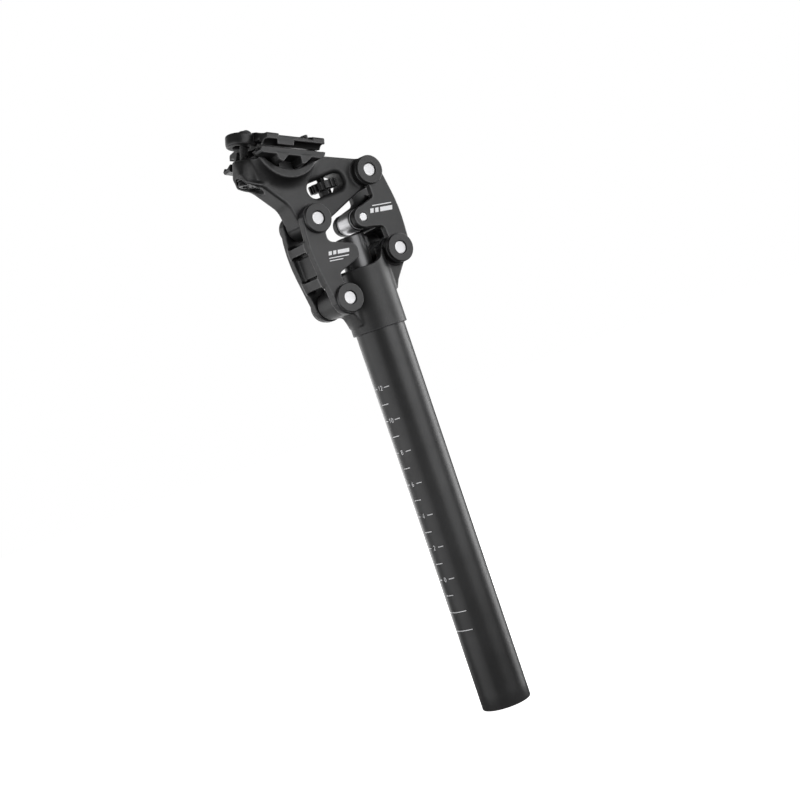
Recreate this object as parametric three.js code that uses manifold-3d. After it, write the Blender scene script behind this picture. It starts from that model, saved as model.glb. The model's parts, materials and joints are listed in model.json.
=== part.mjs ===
// Parallelogram suspension seatpost for a bicycle, 30.9 mm tube, as separate parts.
// Millimetres. The origin is the centre of the tube's lower end, +Z runs up the tube's axis,
// +X points to the front of the bicycle and +Y to its left. Everything is symmetric about Y = 0.
import * as THREE from "three";
import { mergeVertices } from "three/addons/utils/BufferGeometryUtils.js";
import Module from "manifold-3d";

const wasm = await Module();
wasm.setup();

// ---------------------------------------------------------------- driving dimensions

const GAP = 0.25; // play between two parts that sit against each other

// Tube, spring and plunger, all on the Z axis
const TUBE_RADIUS = 15.45;
const TUBE_BORE = 12.45;
const TUBE_TOP = 270;
const PLUG_FLOOR = 2;
const PLUG_TOP = 16;
const SPRING_TOP = 197.7;
const SPRING_MEAN_RADIUS = 9.8;
const SPRING_WIRE_RADIUS = 1.8;
const SPRING_TURNS = 12;
const STEPS_PER_TURN = 9;
const PLUNGER_RADIUS = 9;
const PLUNGER_TOP = 301;
const SHOE_TOP = 211.5;
const BUSH_FLOOR = 212;
const BUSH_TOP = 277;

// Base housing
const COLLAR_RADIUS = 17.15;
const COLLAR_FLOOR = 242;
const COLLAR_RIM = 280.5;

// The four pivots in the XZ plane: an exact parallelogram
const FRONT_LOWER = { x: 22.9, z: 285.2 };
const LINK_VECTOR = { x: -3.4, z: 50.5 };
const BASE_VECTOR = { x: -46.4, z: -20.1 };
const REAR_LOWER = { x: FRONT_LOWER.x + BASE_VECTOR.x, z: FRONT_LOWER.z + BASE_VECTOR.z };
const FRONT_UPPER = { x: FRONT_LOWER.x + LINK_VECTOR.x, z: FRONT_LOWER.z + LINK_VECTOR.z };
const REAR_UPPER = { x: REAR_LOWER.x + LINK_VECTOR.x, z: REAR_LOWER.z + LINK_VECTOR.z };

// Pivot fittings
const AXLE_RADIUS = 3.9;
const BUSH_RADIUS = 5;
const CAP_RADIUS = 8.85;
const CAP_THICKNESS = 2.55;
const BARREL_HALF = 8.6; // half the length of each pivot barrel along Y

// Links: the inner and outer faces of their side plates, as distances from Y = 0
const FRONT_PLATE = { inner: 9, outer: 13.6, ear: 9 };
const REAR_PLATE = { inner: 9.5, outer: 14.5, ear: 9.5 };

// Roller in the nose of the front link
const ROLLER_CENTRE = { x: 5.8, z: 309.3 };
const ROLLER_RADIUS = 6.8;
const ROLLER_HALF = 7.6;
const ROLLER_BORE = 4.2;
const ROLLER_AXLE_RADIUS = 2.5;
const NOSE_RADIUS = 6.4;

// Head: the saddle clamp's own frame is tilted so that the rails lie level on the bicycle
const CLAMP_ORIGIN = { x: -31, z: 363 };
const CLAMP_TILT = THREE.MathUtils.degToRad(17.5);
const SEAT_CENTRE = { u: 0, w: 8 }; // centre of the round seat that the cradle slides on
const SEAT_RADIUS = 23.95;
const CRADLE_RADIUS = 23.6;
const CRESCENT_RADIUS = 21.2;
const HEAD_HALF = 8;
const SEAT_HALF = 17;
const WINDOW = { x: -8.8, z: 334.2, length: 28.6, height: 12, tilt: 0.1 };

// Saddle rails and the clamp that grips them
const RAIL_Y = 22;
const RAIL_W = -4.4;
const CHANNEL_RADIUS = 3.6;
const CLAMP_HALF = 25.2; // half the clamp's width across both rails
const BAR = { rear: -20.6, front: 21.1, floor: -10.3, top: -5.6, inner: 17.2 };
const JAW = { rear: -17, front: 20.8, floor: -3.2, lip: -1.3, top: 2.4 };
const FRONT_LOBE = { floor: 2.4, top: 7.8 };
const REAR_LOBE = { floor: -0.5, top: 6.2 };

// Clamp bolts
const BOLT_RADIUS = 2.5;
const BOLT_HOLE = 3.2;
const REAR_BOLT_U = -20;
const NUT_W = 5;
const NUT_RADIUS = 4;
const NUT_HALF = 5.5;
const WHEEL_CENTRE = { x: -6.3, z: 334.8 };
const FRONT_BOLT_TILT = THREE.MathUtils.degToRad(-2.8);
const WHEEL_RADIUS = 8.8;
const WHEEL_HALF = 2.5;

// ---------------------------------------------------------------- materials

function finish(colour, roughness, metalness) {
  return new THREE.MeshStandardMaterial({ color: colour, roughness, metalness });
}

const BLACK_ANODISED = finish(0x1b1b1c, 0.5, 0.6);
const BLACK_FORGED = finish(0x161617, 0.6, 0.5);
const POLISHED_STEEL = finish(0xd8d9da, 0.18, 1);
const GREY_STEEL = finish(0x6f7072, 0.35, 1);
const BLACK_STEEL = finish(0x101011, 0.45, 0.7);
const BRONZE = finish(0x8a6a3c, 0.45, 0.9);
const NYLON = finish(0x2a2b2d, 0.6, 0);

// ---------------------------------------------------------------- solids

// A closed three.js geometry as a solid that can be joined and cut.
function solid(geometry) {
  const bare = geometry.clone();
  bare.deleteAttribute("normal");
  bare.deleteAttribute("uv");
  const merged = mergeVertices(bare, 1e-4);
  const made = new wasm.Manifold(
    new wasm.Mesh({
      numProp: 3,
      vertProperties: merged.attributes.position.array,
      triVerts: new Uint32Array(merged.index.array),
    }),
  );
  return made;
}

// A solid as a geometry for a mesh.
function surface(body) {
  const mesh = body.getMesh();
  const geometry = new THREE.BufferGeometry();
  geometry.setAttribute("position", new THREE.BufferAttribute(mesh.vertProperties, 3));
  geometry.setIndex(new THREE.BufferAttribute(mesh.triVerts, 1));
  const flat = geometry.toNonIndexed();
  flat.computeVertexNormals();
  return flat;
}

function joined(bodies) {
  return bodies.reduce((sum, body) => sum.add(body));
}

function cut(body, tools) {
  return tools.reduce((rest, tool) => rest.subtract(tool), body);
}

// A shape drawn in X and Z, pushed from y0 to y1.
function plate(shape, y0, y1, curveSegments = 4) {
  const geometry = new THREE.ExtrudeGeometry(shape, {
    depth: y1 - y0,
    bevelEnabled: false,
    curveSegments,
  });
  geometry.rotateX(Math.PI / 2);
  geometry.translate(0, y1, 0);
  return solid(geometry);
}

// Two plates, one each side of Y = 0.
function platePair(shape, inner, outer, curveSegments = 4) {
  return joined([
    plate(shape, inner, outer, curveSegments),
    plate(shape, -outer, -inner, curveSegments),
  ]);
}

// A straight corner-to-corner outline whose corners can be rounded: each is [x, z] or [x, z, radius].
function outline(corners) {
  const shape = new THREE.Shape();
  corners.forEach((corner, index) => {
    const here = new THREE.Vector2(corner[0], corner[1]);
    const radius = corner[2] ?? 0;
    if (radius === 0) {
      if (index === 0) shape.moveTo(here.x, here.y);
      else shape.lineTo(here.x, here.y);
      return;
    }
    const [before, after] = [-1, 1].map((step) => {
      const other = corners[(index + step + corners.length) % corners.length];
      return new THREE.Vector2(other[0], other[1]).sub(here).normalize();
    });
    const half = Math.acos(before.dot(after)) / 2;
    const start = here.clone().addScaledVector(before, radius / Math.tan(half));
    const end = here.clone().addScaledVector(after, radius / Math.tan(half));
    const inward = before.clone().add(after).normalize();
    const centre = here.clone().addScaledVector(inward, radius / Math.sin(half));
    const turnsLeft = before.cross(after) < 0;
    if (index === 0) shape.moveTo(start.x, start.y);
    else shape.lineTo(start.x, start.y);
    shape.absarc(
      centre.x,
      centre.y,
      radius,
      Math.atan2(start.y - centre.y, start.x - centre.x),
      Math.atan2(end.y - centre.y, end.x - centre.x),
      !turnsLeft,
    );
  });
  shape.closePath();
  return shape;
}

// A round bar along Y through a point of the XZ plane.
function barY(point, radius, y0, y1, segments = 24) {
  const geometry = new THREE.CylinderGeometry(radius, radius, y1 - y0, segments);
  geometry.translate(point.x, (y0 + y1) / 2, point.z);
  return solid(geometry);
}

// A round bar along Z.
function barZ(radius, z0, z1, segments = 40) {
  const geometry = new THREE.CylinderGeometry(radius, radius, z1 - z0, segments);
  geometry.rotateX(Math.PI / 2);
  geometry.translate(0, 0, (z0 + z1) / 2);
  return solid(geometry);
}

// The cutting tool for a hexagonal key socket along Z.
function hexSocket(radius, z0, z1) {
  return barZ(radius, z0, z1, 6);
}

// A ring or bar turned about Z from [radius, z] corners, listed anticlockwise.
function turned(profile, segments = 40) {
  const points = profile.map(([radius, z]) => new THREE.Vector2(radius, z));
  const geometry = new THREE.LatheGeometry([...points, points[0]], segments);
  geometry.rotateX(Math.PI / 2);
  return solid(geometry);
}

function block(x0, x1, y0, y1, z0, z1) {
  const geometry = new THREE.BoxGeometry(x1 - x0, y1 - y0, z1 - z0);
  geometry.translate((x0 + x1) / 2, (y0 + y1) / 2, (z0 + z1) / 2);
  return solid(geometry);
}

// A solid built along the clamp's own axes (u forward, w up), set in place on the head.
function inClampFrame(body) {
  const degrees = THREE.MathUtils.radToDeg(CLAMP_TILT);
  return body.rotate([0, degrees, 0]).translate([CLAMP_ORIGIN.x, 0, CLAMP_ORIGIN.z]);
}

// A solid built along Z about the origin, set on the front bolt's line at the wheel's centre.
function onFrontBolt(body) {
  const degrees = THREE.MathUtils.radToDeg(FRONT_BOLT_TILT);
  return body.rotate([0, degrees, 0]).translate([WHEEL_CENTRE.x, 0, WHEEL_CENTRE.z]);
}

// ---------------------------------------------------------------- the model

const seatpost = new THREE.Group();

function add(name, body, material) {
  const mesh = new THREE.Mesh(surface(body), material);
  mesh.name = name;
  seatpost.add(mesh);
}

// ---------------------------------------------------------------- tube and what it holds

function tube() {
  const chamfer = 0.5;
  return turned([
    [TUBE_BORE, 0],
    [TUBE_RADIUS - chamfer, 0],
    [TUBE_RADIUS, chamfer],
    [TUBE_RADIUS, TUBE_TOP],
    [TUBE_BORE, TUBE_TOP],
  ]);
}

function preloadPlug() {
  const keyRadius = 4.6;
  const keyDepth = 7;
  const key = hexSocket(keyRadius, PLUG_FLOOR - 1, PLUG_FLOOR + keyDepth);
  return cut(barZ(TUBE_BORE - GAP, PLUG_FLOOR, PLUG_TOP), [key]);
}

// The spring's wire runs up a helix.
class Helix extends THREE.Curve {
  getPoint(t, target = new THREE.Vector3()) {
    const turn = 2 * Math.PI * SPRING_TURNS * t;
    const bottom = PLUG_TOP + GAP + SPRING_WIRE_RADIUS;
    const top = SPRING_TOP - SPRING_WIRE_RADIUS;
    return target.set(
      SPRING_MEAN_RADIUS * Math.cos(turn),
      SPRING_MEAN_RADIUS * Math.sin(turn),
      bottom + (top - bottom) * t,
    );
  }
}

function coilSpring() {
  const wire = new THREE.Shape();
  const sides = 6;
  for (let side = 0; side < sides; side += 1) {
    const angle = (2 * Math.PI * side) / sides;
    const x = SPRING_WIRE_RADIUS * Math.cos(angle);
    const y = SPRING_WIRE_RADIUS * Math.sin(angle);
    if (side === 0) wire.moveTo(x, y);
    else wire.lineTo(x, y);
  }
  wire.closePath();
  const geometry = new THREE.ExtrudeGeometry(wire, {
    steps: SPRING_TURNS * STEPS_PER_TURN,
    extrudePath: new Helix(),
  });
  return solid(geometry);
}

function plunger() {
  const shoeFloor = SPRING_TOP + GAP;
  const chamfer = 0.6;
  return turned([
    [0, shoeFloor],
    [TUBE_BORE - GAP, shoeFloor],
    [TUBE_BORE - GAP, SHOE_TOP],
    [PLUNGER_RADIUS, SHOE_TOP],
    [PLUNGER_RADIUS, PLUNGER_TOP - chamfer],
    [PLUNGER_RADIUS - chamfer, PLUNGER_TOP],
    [0, PLUNGER_TOP],
  ]);
}

function guideBush() {
  return turned([
    [PLUNGER_RADIUS + GAP, BUSH_FLOOR],
    [TUBE_BORE - GAP, BUSH_FLOOR],
    [TUBE_BORE - GAP, BUSH_TOP],
    [PLUNGER_RADIUS + GAP, BUSH_TOP],
  ]);
}

// ---------------------------------------------------------------- base housing

const REAR_LUG_RADIUS = 8.8;
const FRONT_LUG_RADIUS = 9.3;
const FORK_HALF = 4.6; // the front lug is a fork, open this far each side of Y = 0
const POCKET_PLAY = 0.9; // room round each link's ear where it dips into the collar
const WIDE = 40; // further out than any part, for cutting tools

function baseHousing() {
  const sideRim = outline([
    [-20, 280],
    [0, 280.7, 8],
    [6.4, 282.8, 6],
    [10.8, 287.4, 0.8],
    [14, 288.8],
    [14, 262],
    [-20, 262],
  ]);
  const frontLug = outline([
    [6, 262],
    [17.6, 262.6],
    [20.2, 267.5, 6],
    [29.6, 278.6],
    [FRONT_LOWER.x, FRONT_LOWER.z],
    [16, 291],
    [6, 288],
  ]);
  const rearLug = outline([
    [-8, 280.3],
    [-18.5, 279.6, 3],
    [-27, 273],
    [REAR_LOWER.x, REAR_LOWER.z],
    [-23, 256.4],
    [-19, 255.4, 3],
    [-16.2, 248],
    [-8, 248],
  ]);
  const forkGap = outline([
    [0, 277],
    [40, 277],
    [40, 300],
    [0, 300],
  ]);
  const shell = joined([
    barZ(COLLAR_RADIUS, COLLAR_FLOOR, COLLAR_RIM, 48),
    barZ(COLLAR_RADIUS, COLLAR_RIM - 1, 292, 48).intersect(plate(sideRim, -WIDE, WIDE)),
    plate(frontLug, -7.4, 7.4),
    plate(rearLug, -7.6, 7.6),
    barY(FRONT_LOWER, FRONT_LUG_RADIUS, -BARREL_HALF, BARREL_HALF, 32),
    barY(REAR_LOWER, REAR_LUG_RADIUS, -BARREL_HALF, BARREL_HALF, 32),
  ]);
  const frontPocket = FRONT_PLATE.ear + POCKET_PLAY + 0.5;
  const rearPocket = REAR_PLATE.ear + POCKET_PLAY;
  return cut(shell, [
    barZ(TUBE_RADIUS + GAP, COLLAR_FLOOR - 1, TUBE_TOP + GAP, 48),
    barZ(TUBE_BORE, TUBE_TOP - 1, 300),
    barY(FRONT_LOWER, frontPocket, BARREL_HALF + 0.1, WIDE, 32),
    barY(FRONT_LOWER, frontPocket, -WIDE, -BARREL_HALF - 0.1, 32),
    barY(REAR_LOWER, rearPocket, BARREL_HALF + 0.1, WIDE, 32),
    barY(REAR_LOWER, rearPocket, -WIDE, -BARREL_HALF - 0.1, 32),
    plate(forkGap, -FORK_HALF, FORK_HALF),
    barY(FRONT_LOWER, BUSH_RADIUS + GAP, -WIDE, WIDE),
    barY(REAR_LOWER, BUSH_RADIUS + GAP, -WIDE, WIDE),
  ]);
}

// ---------------------------------------------------------------- links

// Both plates of a link, with a round ear at each pivot and a bore for each axle.
function linkPlates(faces, sideShape, pivots) {
  const plates = platePair(sideShape, faces.inner, faces.outer, 3);
  const ears = pivots.flatMap((pivot) => [
    barY(pivot, faces.ear, faces.inner, faces.outer, 32),
    barY(pivot, faces.ear, -faces.outer, -faces.inner, 32),
  ]);
  return joined([plates, ...ears]);
}

function frontLink() {
  const side = outline([
    [FRONT_UPPER.x, FRONT_UPPER.z],
    [16.9, 328],
    [17.2, 319.6, 2.6],
    [4, 315.4],
    [ROLLER_CENTRE.x, ROLLER_CENTRE.z],
    [5.2, 302.9],
    [17.9, 300.9, 3.2],
    [18.4, 292],
    [FRONT_LOWER.x, FRONT_LOWER.z],
    [31.9, 285.5],
    [33.6, 309, 90],
    [28.4, 336],
  ]);
  const web = outline([
    [27.2, 323.5],
    [31.2, 321.9],
    [32.9, 309, 60],
    [32.3, 296.6],
    [27.8, 295.6],
    [24.6, 300.4, 1.5],
    [14.6, 301.2],
    [15.2, 304.8],
    [25.2, 304.8, 3],
    [28.6, 311],
  ]);
  const nose = (y0, y1) => barY(ROLLER_CENTRE, NOSE_RADIUS, y0, y1, 28);
  const body = joined([
    linkPlates(FRONT_PLATE, side, [FRONT_UPPER, FRONT_LOWER]),
    nose(FRONT_PLATE.inner, FRONT_PLATE.outer),
    nose(-FRONT_PLATE.outer, -FRONT_PLATE.inner),
    plate(web, -FRONT_PLATE.inner, FRONT_PLATE.inner),
  ]);
  return cut(body, [
    barY(FRONT_UPPER, AXLE_RADIUS + GAP, -WIDE, WIDE),
    barY(FRONT_LOWER, AXLE_RADIUS + GAP, -WIDE, WIDE),
    barY(ROLLER_CENTRE, ROLLER_AXLE_RADIUS + GAP, -WIDE, WIDE, 24),
  ]);
}

function rearLink() {
  const side = outline([
    [REAR_UPPER.x, REAR_UPPER.z],
    [-36.2, 318.5],
    [-39.3, 301, 90],
    [-33, 264],
    [REAR_LOWER.x, REAR_LOWER.z],
    [-22.6, 273],
    [-23.2, 280.9, 2.4],
    [-6.2, 286.9, 3],
    [-5.2, 295.2, 4.2],
    [-24.2, 300.8, 3.6],
    [-23.4, 309],
  ]);
  const innerHalf = REAR_PLATE.inner;
  const upperRung = outline([
    [-45, 303.7],
    [-33, 303.7, 0.8],
    [-32.4, 298.6, 0.8],
    [-45, 298.6],
  ]);
  const lowerRung = outline([
    [-45, 282],
    [-32.4, 282, 0.8],
    [-31, 276.2, 0.8],
    [-45, 276.2],
  ]);
  const floor = outline([
    [-34.2, 296.3],
    [-32, 296.3],
    [-31.8, 283.6],
    [-34, 283.6],
  ]);
  const rungs = joined([upperRung, lowerRung].map((rung) => plate(rung, -innerHalf, innerHalf)));
  const body = joined([
    linkPlates(REAR_PLATE, side, [REAR_UPPER, REAR_LOWER]),
    rungs.intersect(plate(side, -innerHalf, innerHalf, 3)),
    plate(floor, -innerHalf, innerHalf),
  ]);
  return cut(body, [
    barY(REAR_UPPER, AXLE_RADIUS + GAP, -WIDE, WIDE),
    barY(REAR_LOWER, AXLE_RADIUS + GAP, -WIDE, WIDE),
  ]);
}

// ---------------------------------------------------------------- pivot fittings and roller

function axle(point, half) {
  return barY(point, AXLE_RADIUS, -half, half);
}

// A round cap against a link's outer face, with a hole that shows the axle's end.
function pivotCap(point, side, face) {
  const chamfer = 0.6;
  const hole = AXLE_RADIUS + GAP;
  const near = face + GAP;
  const far = face + GAP + CAP_THICKNESS;
  const ring = turned(
    [
      [hole, near],
      [CAP_RADIUS, near],
      [CAP_RADIUS, far - chamfer],
      [CAP_RADIUS - chamfer, far],
      [hole, far],
    ],
    32,
  );
  return ring.rotate([side * -90, 0, 0]).translate([point.x, 0, point.z]);
}

function pivotBush(point, y0, y1) {
  const outer = barY(point, BUSH_RADIUS, y0, y1);
  return cut(outer, [barY(point, AXLE_RADIUS + GAP, -WIDE, WIDE)]);
}

function roller() {
  const chamfer = 0.5;
  const ring = turned(
    [
      [ROLLER_BORE, -ROLLER_HALF + 1.4],
      [5.4, -ROLLER_HALF + 1.4],
      [5.4, -ROLLER_HALF],
      [ROLLER_RADIUS - chamfer, -ROLLER_HALF],
      [ROLLER_RADIUS, -ROLLER_HALF + chamfer],
      [ROLLER_RADIUS, ROLLER_HALF - chamfer],
      [ROLLER_RADIUS - chamfer, ROLLER_HALF],
      [5.4, ROLLER_HALF],
      [5.4, ROLLER_HALF - 1.4],
      [ROLLER_BORE, ROLLER_HALF - 1.4],
    ],
    36,
  );
  return ring.rotate([90, 0, 0]).translate([ROLLER_CENTRE.x, 0, ROLLER_CENTRE.z]);
}

function rollerSleeve() {
  const half = ROLLER_HALF - 0.6;
  const outer = barY(ROLLER_CENTRE, ROLLER_BORE - GAP, -half, half, 24);
  return cut(outer, [barY(ROLLER_CENTRE, ROLLER_AXLE_RADIUS + GAP, -WIDE, WIDE, 24)]);
}

function rollerWasher(side) {
  const near = side * (ROLLER_HALF + 0.3);
  const far = side * (FRONT_PLATE.inner - 0.2);
  const disc = barY(ROLLER_CENTRE, 4.4, Math.min(near, far), Math.max(near, far), 24);
  return cut(disc, [barY(ROLLER_CENTRE, ROLLER_AXLE_RADIUS + GAP, -WIDE, WIDE, 24)]);
}

// ---------------------------------------------------------------- head

// A point of the clamp's frame in the part's own X and Z.
function clampPoint(u, w) {
  return {
    x: CLAMP_ORIGIN.x + u * Math.cos(CLAMP_TILT) + w * Math.sin(CLAMP_TILT),
    z: CLAMP_ORIGIN.z - u * Math.sin(CLAMP_TILT) + w * Math.cos(CLAMP_TILT),
  };
}

function corner(u, w, radius = 0) {
  const point = clampPoint(u, w);
  return [point.x, point.z, radius];
}

function slot() {
  const half = WINDOW.length / 2;
  const radius = WINDOW.height / 2;
  const end = half - radius;
  const shape = new THREE.Shape();
  const angle = WINDOW.tilt;
  const along = (side) => ({
    x: WINDOW.x + side * end * Math.cos(angle),
    z: WINDOW.z + side * end * Math.sin(angle),
  });
  const front = along(1);
  const rear = along(-1);
  shape.absarc(front.x, front.z, radius, angle - Math.PI / 2, angle + Math.PI / 2, false);
  shape.absarc(rear.x, rear.z, radius, angle + Math.PI / 2, angle + (3 * Math.PI) / 2, false);
  shape.closePath();
  return plate(shape, -WIDE, WIDE, 10);
}

function head() {
  const side = outline([
    [20, 344.6],
    corner(25, -2.8, 4),
    corner(19, -10),
    corner(-14, -10),
    corner(-20, -9.5),
    corner(-25, -12),
    corner(-25.6, -19, 2.5),
    corner(-22.2, -23.6, 3),
    corner(-12.3, -25.8, 14),
    [-38.2, 328, 12],
    [-35.6, 314.6],
    [REAR_UPPER.x, REAR_UPPER.z],
    [-24.2, 309.4],
    [22, 329.4],
    [FRONT_UPPER.x, FRONT_UPPER.z],
  ]);
  const seatShape = outline([
    [-CRESCENT_RADIUS, -10.2],
    [CRESCENT_RADIUS, -10.2],
    [CRESCENT_RADIUS, -30],
    [-CRESCENT_RADIUS, -30],
  ]);
  const seatDisc = barY({ x: 0, z: 0 }, CRESCENT_RADIUS, -SEAT_HALF, SEAT_HALF, 48);
  const seat = seatDisc.intersect(plate(seatShape, -WIDE, WIDE));
  const rib = barY({ x: 0, z: 0 }, CRESCENT_RADIUS + 3.4, -11, 11, 48).intersect(
    plate(seatShape, -WIDE, WIDE),
  );
  const postSide = outline([
    [-30, 0],
    [-25.6, -19, 2.5],
    [-22.2, -23.6, 3],
    [-10, -26.2],
    [-10, 0],
  ]);
  const bar = barZ(7, -30, -9.4, 28).translate([REAR_BOLT_U, 0, 0]);
  const post = bar.intersect(plate(postSide, -WIDE, WIDE));
  const body = joined([
    plate(side, -HEAD_HALF, HEAD_HALF),
    barY(FRONT_UPPER, 9, -BARREL_HALF, BARREL_HALF, 32),
    barY(REAR_UPPER, 8.7, -BARREL_HALF, BARREL_HALF, 32),
    inClampFrame(joined([seat, rib, post])),
  ]);
  const slideway = barY({ x: SEAT_CENTRE.u, z: SEAT_CENTRE.w }, SEAT_RADIUS, -WIDE, WIDE, 72);
  const rearHole = joined([barZ(5.2, -45, -19.5, 24), barZ(BOLT_HOLE, -45, 10, 20)]);
  return cut(body, [
    inClampFrame(slideway),
    inClampFrame(rearHole.translate([REAR_BOLT_U, 0, 0])),
    onFrontBolt(barZ(BOLT_HOLE + 0.6, 0, 30, 24)),
    slot(),
    barY(FRONT_UPPER, BUSH_RADIUS + GAP, -WIDE, WIDE),
    barY(REAR_UPPER, BUSH_RADIUS + GAP, -WIDE, WIDE),
  ]);
}

// ---------------------------------------------------------------- saddle clamp

// Rail-shaped cutting tools, built along u.
function railChannels() {
  return [-RAIL_Y, RAIL_Y].map((y) => {
    const geometry = new THREE.CylinderGeometry(CHANNEL_RADIUS, CHANNEL_RADIUS, 3 * WIDE, 24);
    geometry.rotateZ(Math.PI / 2);
    geometry.translate(0, y, RAIL_W);
    return solid(geometry);
  });
}

function lowerCradle() {
  const slider = barY({ x: 0, z: SEAT_CENTRE.w }, CRADLE_RADIUS, -WIDE, WIDE, 72);
  const bar = outline([
    [BAR.rear, BAR.top],
    [BAR.rear - 1.4, BAR.floor + 1.4],
    [BAR.rear - 0.4, BAR.floor + 0.3],
    [BAR.rear + 4.6, BAR.floor],
    [BAR.front - 3.4, BAR.floor],
    [BAR.front - 0.6, BAR.floor + 2],
    [BAR.front, BAR.top],
  ]);
  const leg = (rear, front, foot) =>
    outline([
      [rear, BAR.floor + 1],
      [foot - 0.8, -14.6],
      [foot + 0.8, -14.6],
      [front, BAR.floor + 1],
    ]);
  const middle = joined([
    block(-15.5, 18.5, -9.5, 9.5, -20, BAR.top),
    block(-4, 12.5, -13, 13, -20, BAR.top),
    platePair(bar, 9, BAR.inner + 0.4),
    platePair(leg(-12, -3, -8.4), 14, CLAMP_HALF),
    platePair(leg(3.8, 12.6, 6), 14, CLAMP_HALF),
  ]);
  const body = slider.intersect(middle).add(platePair(bar, BAR.inner, CLAMP_HALF));
  return inClampFrame(cut(body, railChannels()));
}

// The upper clamp's section across the rails, drawn in Y and w, one half then the other.
function clampSection() {
  const half = [
    [CLAMP_HALF, JAW.floor],
    [CLAMP_HALF, JAW.top - 0.8],
    [CLAMP_HALF - 1.4, JAW.top],
    [18, 3.2],
    [11, 6.2],
    [5, 7.6],
  ];
  const mirrored = half.map(([y, w]) => [-y, w]).reverse();
  const under = [
    [-17.4, JAW.floor],
    [-15.6, 1.2],
    [15.6, 1.2],
    [17.4, JAW.floor],
  ];
  const geometry = new THREE.ExtrudeGeometry(outline([...half, ...mirrored, ...under]), {
    depth: JAW.front - JAW.rear,
    bevelEnabled: false,
  });
  geometry.rotateX(Math.PI / 2);
  geometry.rotateZ(Math.PI / 2);
  geometry.translate(JAW.rear, 0, 0);
  return solid(geometry);
}

// The round lobe over a clamp bolt, with the tapering arm that carries it to the jaws.
function clampLobe(u, radius, reach, { floor, top }) {
  const armHalf = 13;
  const arm = new THREE.Shape();
  arm.moveTo(u, -radius);
  arm.lineTo(reach, -armHalf);
  arm.lineTo(reach, armHalf);
  arm.lineTo(u, radius);
  arm.closePath();
  const geometry = new THREE.ExtrudeGeometry(arm, {
    depth: top - Math.max(floor, 1),
    bevelEnabled: false,
  });
  geometry.translate(0, 0, Math.max(floor, 1));
  const lobe = barZ(radius, floor, top, 40).translate([u, 0, 0]);
  return joined([solid(geometry), lobe]);
}

// The half-round bed that a barrel nut lies in, open to the top.
function nutBed(u) {
  const half = NUT_HALF + GAP;
  return joined([
    barY({ x: u, z: NUT_W }, NUT_RADIUS + GAP, -half, half),
    block(u - NUT_RADIUS - GAP, u + NUT_RADIUS + GAP, -half, half, NUT_W, 20),
  ]);
}

// A hole along Z, drawn out along X so that the bolt in it can lean as the clamp is tilted.
function boltSlot(back, ahead) {
  return joined([
    barZ(BOLT_HOLE, -20, 20, 24).translate([-back, 0, 0]),
    barZ(BOLT_HOLE, -20, 20, 24).translate([ahead, 0, 0]),
    block(-back, ahead, -BOLT_HOLE, BOLT_HOLE, -20, 20),
  ]);
}

function upperClamp() {
  const frontNut = frontNutPoint();
  const body = joined([
    clampSection(),
    clampLobe(REAR_BOLT_U - 1.6, 9, -12, REAR_LOBE),
    clampLobe(frontNut.u, 7, 14, FRONT_LOBE),
  ]);
  const relief = block(-9.3, 13, 19, WIDE, 0.6, 10); // the shallow step along each jaw's top
  const cheek = joined([
    block(-30, -10.6, CLAMP_HALF - 3.6, WIDE, -8, JAW.lip),
    block(0.2, 30, CLAMP_HALF - 3.6, WIDE, -8, JAW.lip),
  ]); // the outer wall's windows onto the rail, each side of its middle post
  const frontLean = THREE.MathUtils.radToDeg(FRONT_BOLT_TILT - CLAMP_TILT);
  return inClampFrame(
    cut(body, [
      ...railChannels(),
      relief,
      relief.mirror([0, 1, 0]),
      cheek,
      cheek.mirror([0, 1, 0]),
      nutBed(REAR_BOLT_U),
      nutBed(frontNut.u),
      boltSlot(3.4, 0.9).translate([REAR_BOLT_U, 0, 0]),
      boltSlot(0.9, 0.9).rotate([0, frontLean, 0]).translate([frontNut.u, 0, NUT_W]),
    ]),
  );
}

// Where the front bolt's line crosses the nuts' level, in the clamp's frame.
function frontNutPoint() {
  const dx = WHEEL_CENTRE.x - CLAMP_ORIGIN.x;
  const dz = WHEEL_CENTRE.z - CLAMP_ORIGIN.z;
  const u = dx * Math.cos(CLAMP_TILT) - dz * Math.sin(CLAMP_TILT);
  const w = dx * Math.sin(CLAMP_TILT) + dz * Math.cos(CLAMP_TILT);
  return { u: u + (NUT_W - w) * Math.tan(FRONT_BOLT_TILT - CLAMP_TILT), w: NUT_W };
}

// A round nut lying along Y with a cross hole for its bolt, leaning by an angle in the clamp's frame.
function barrelNut(u, lean) {
  const hole = barZ(3.05, -10, 10, 24).rotate([0, THREE.MathUtils.radToDeg(lean), 0]);
  const nut = cut(barY({ x: 0, z: 0 }, NUT_RADIUS, -NUT_HALF, NUT_HALF), [hole]);
  return inClampFrame(nut.translate([u, 0, NUT_W]));
}

// ---------------------------------------------------------------- clamp bolts

function rearBolt() {
  const shank = barZ(BOLT_RADIUS, -22, 9.4, 24);
  const boltHead = barZ(4.25, -24.2, -21.3, 28);
  const bolt = cut(joined([shank, boltHead]), [hexSocket(2.3, -28, -22.4)]);
  return inClampFrame(bolt.translate([REAR_BOLT_U, 0, 0]));
}

function rearWasher() {
  const washer = cut(barZ(4.8, -21, -19.8, 28), [barZ(BOLT_RADIUS + GAP, -30, 0, 24)]);
  return inClampFrame(washer.translate([REAR_BOLT_U, 0, 0]));
}

function frontBolt() {
  const shank = barZ(BOLT_RADIUS, -4, 32.6, 24);
  const boltHead = barZ(4, -5.8, -2.8, 6);
  return onFrontBolt(joined([shank, boltHead]));
}

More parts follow.
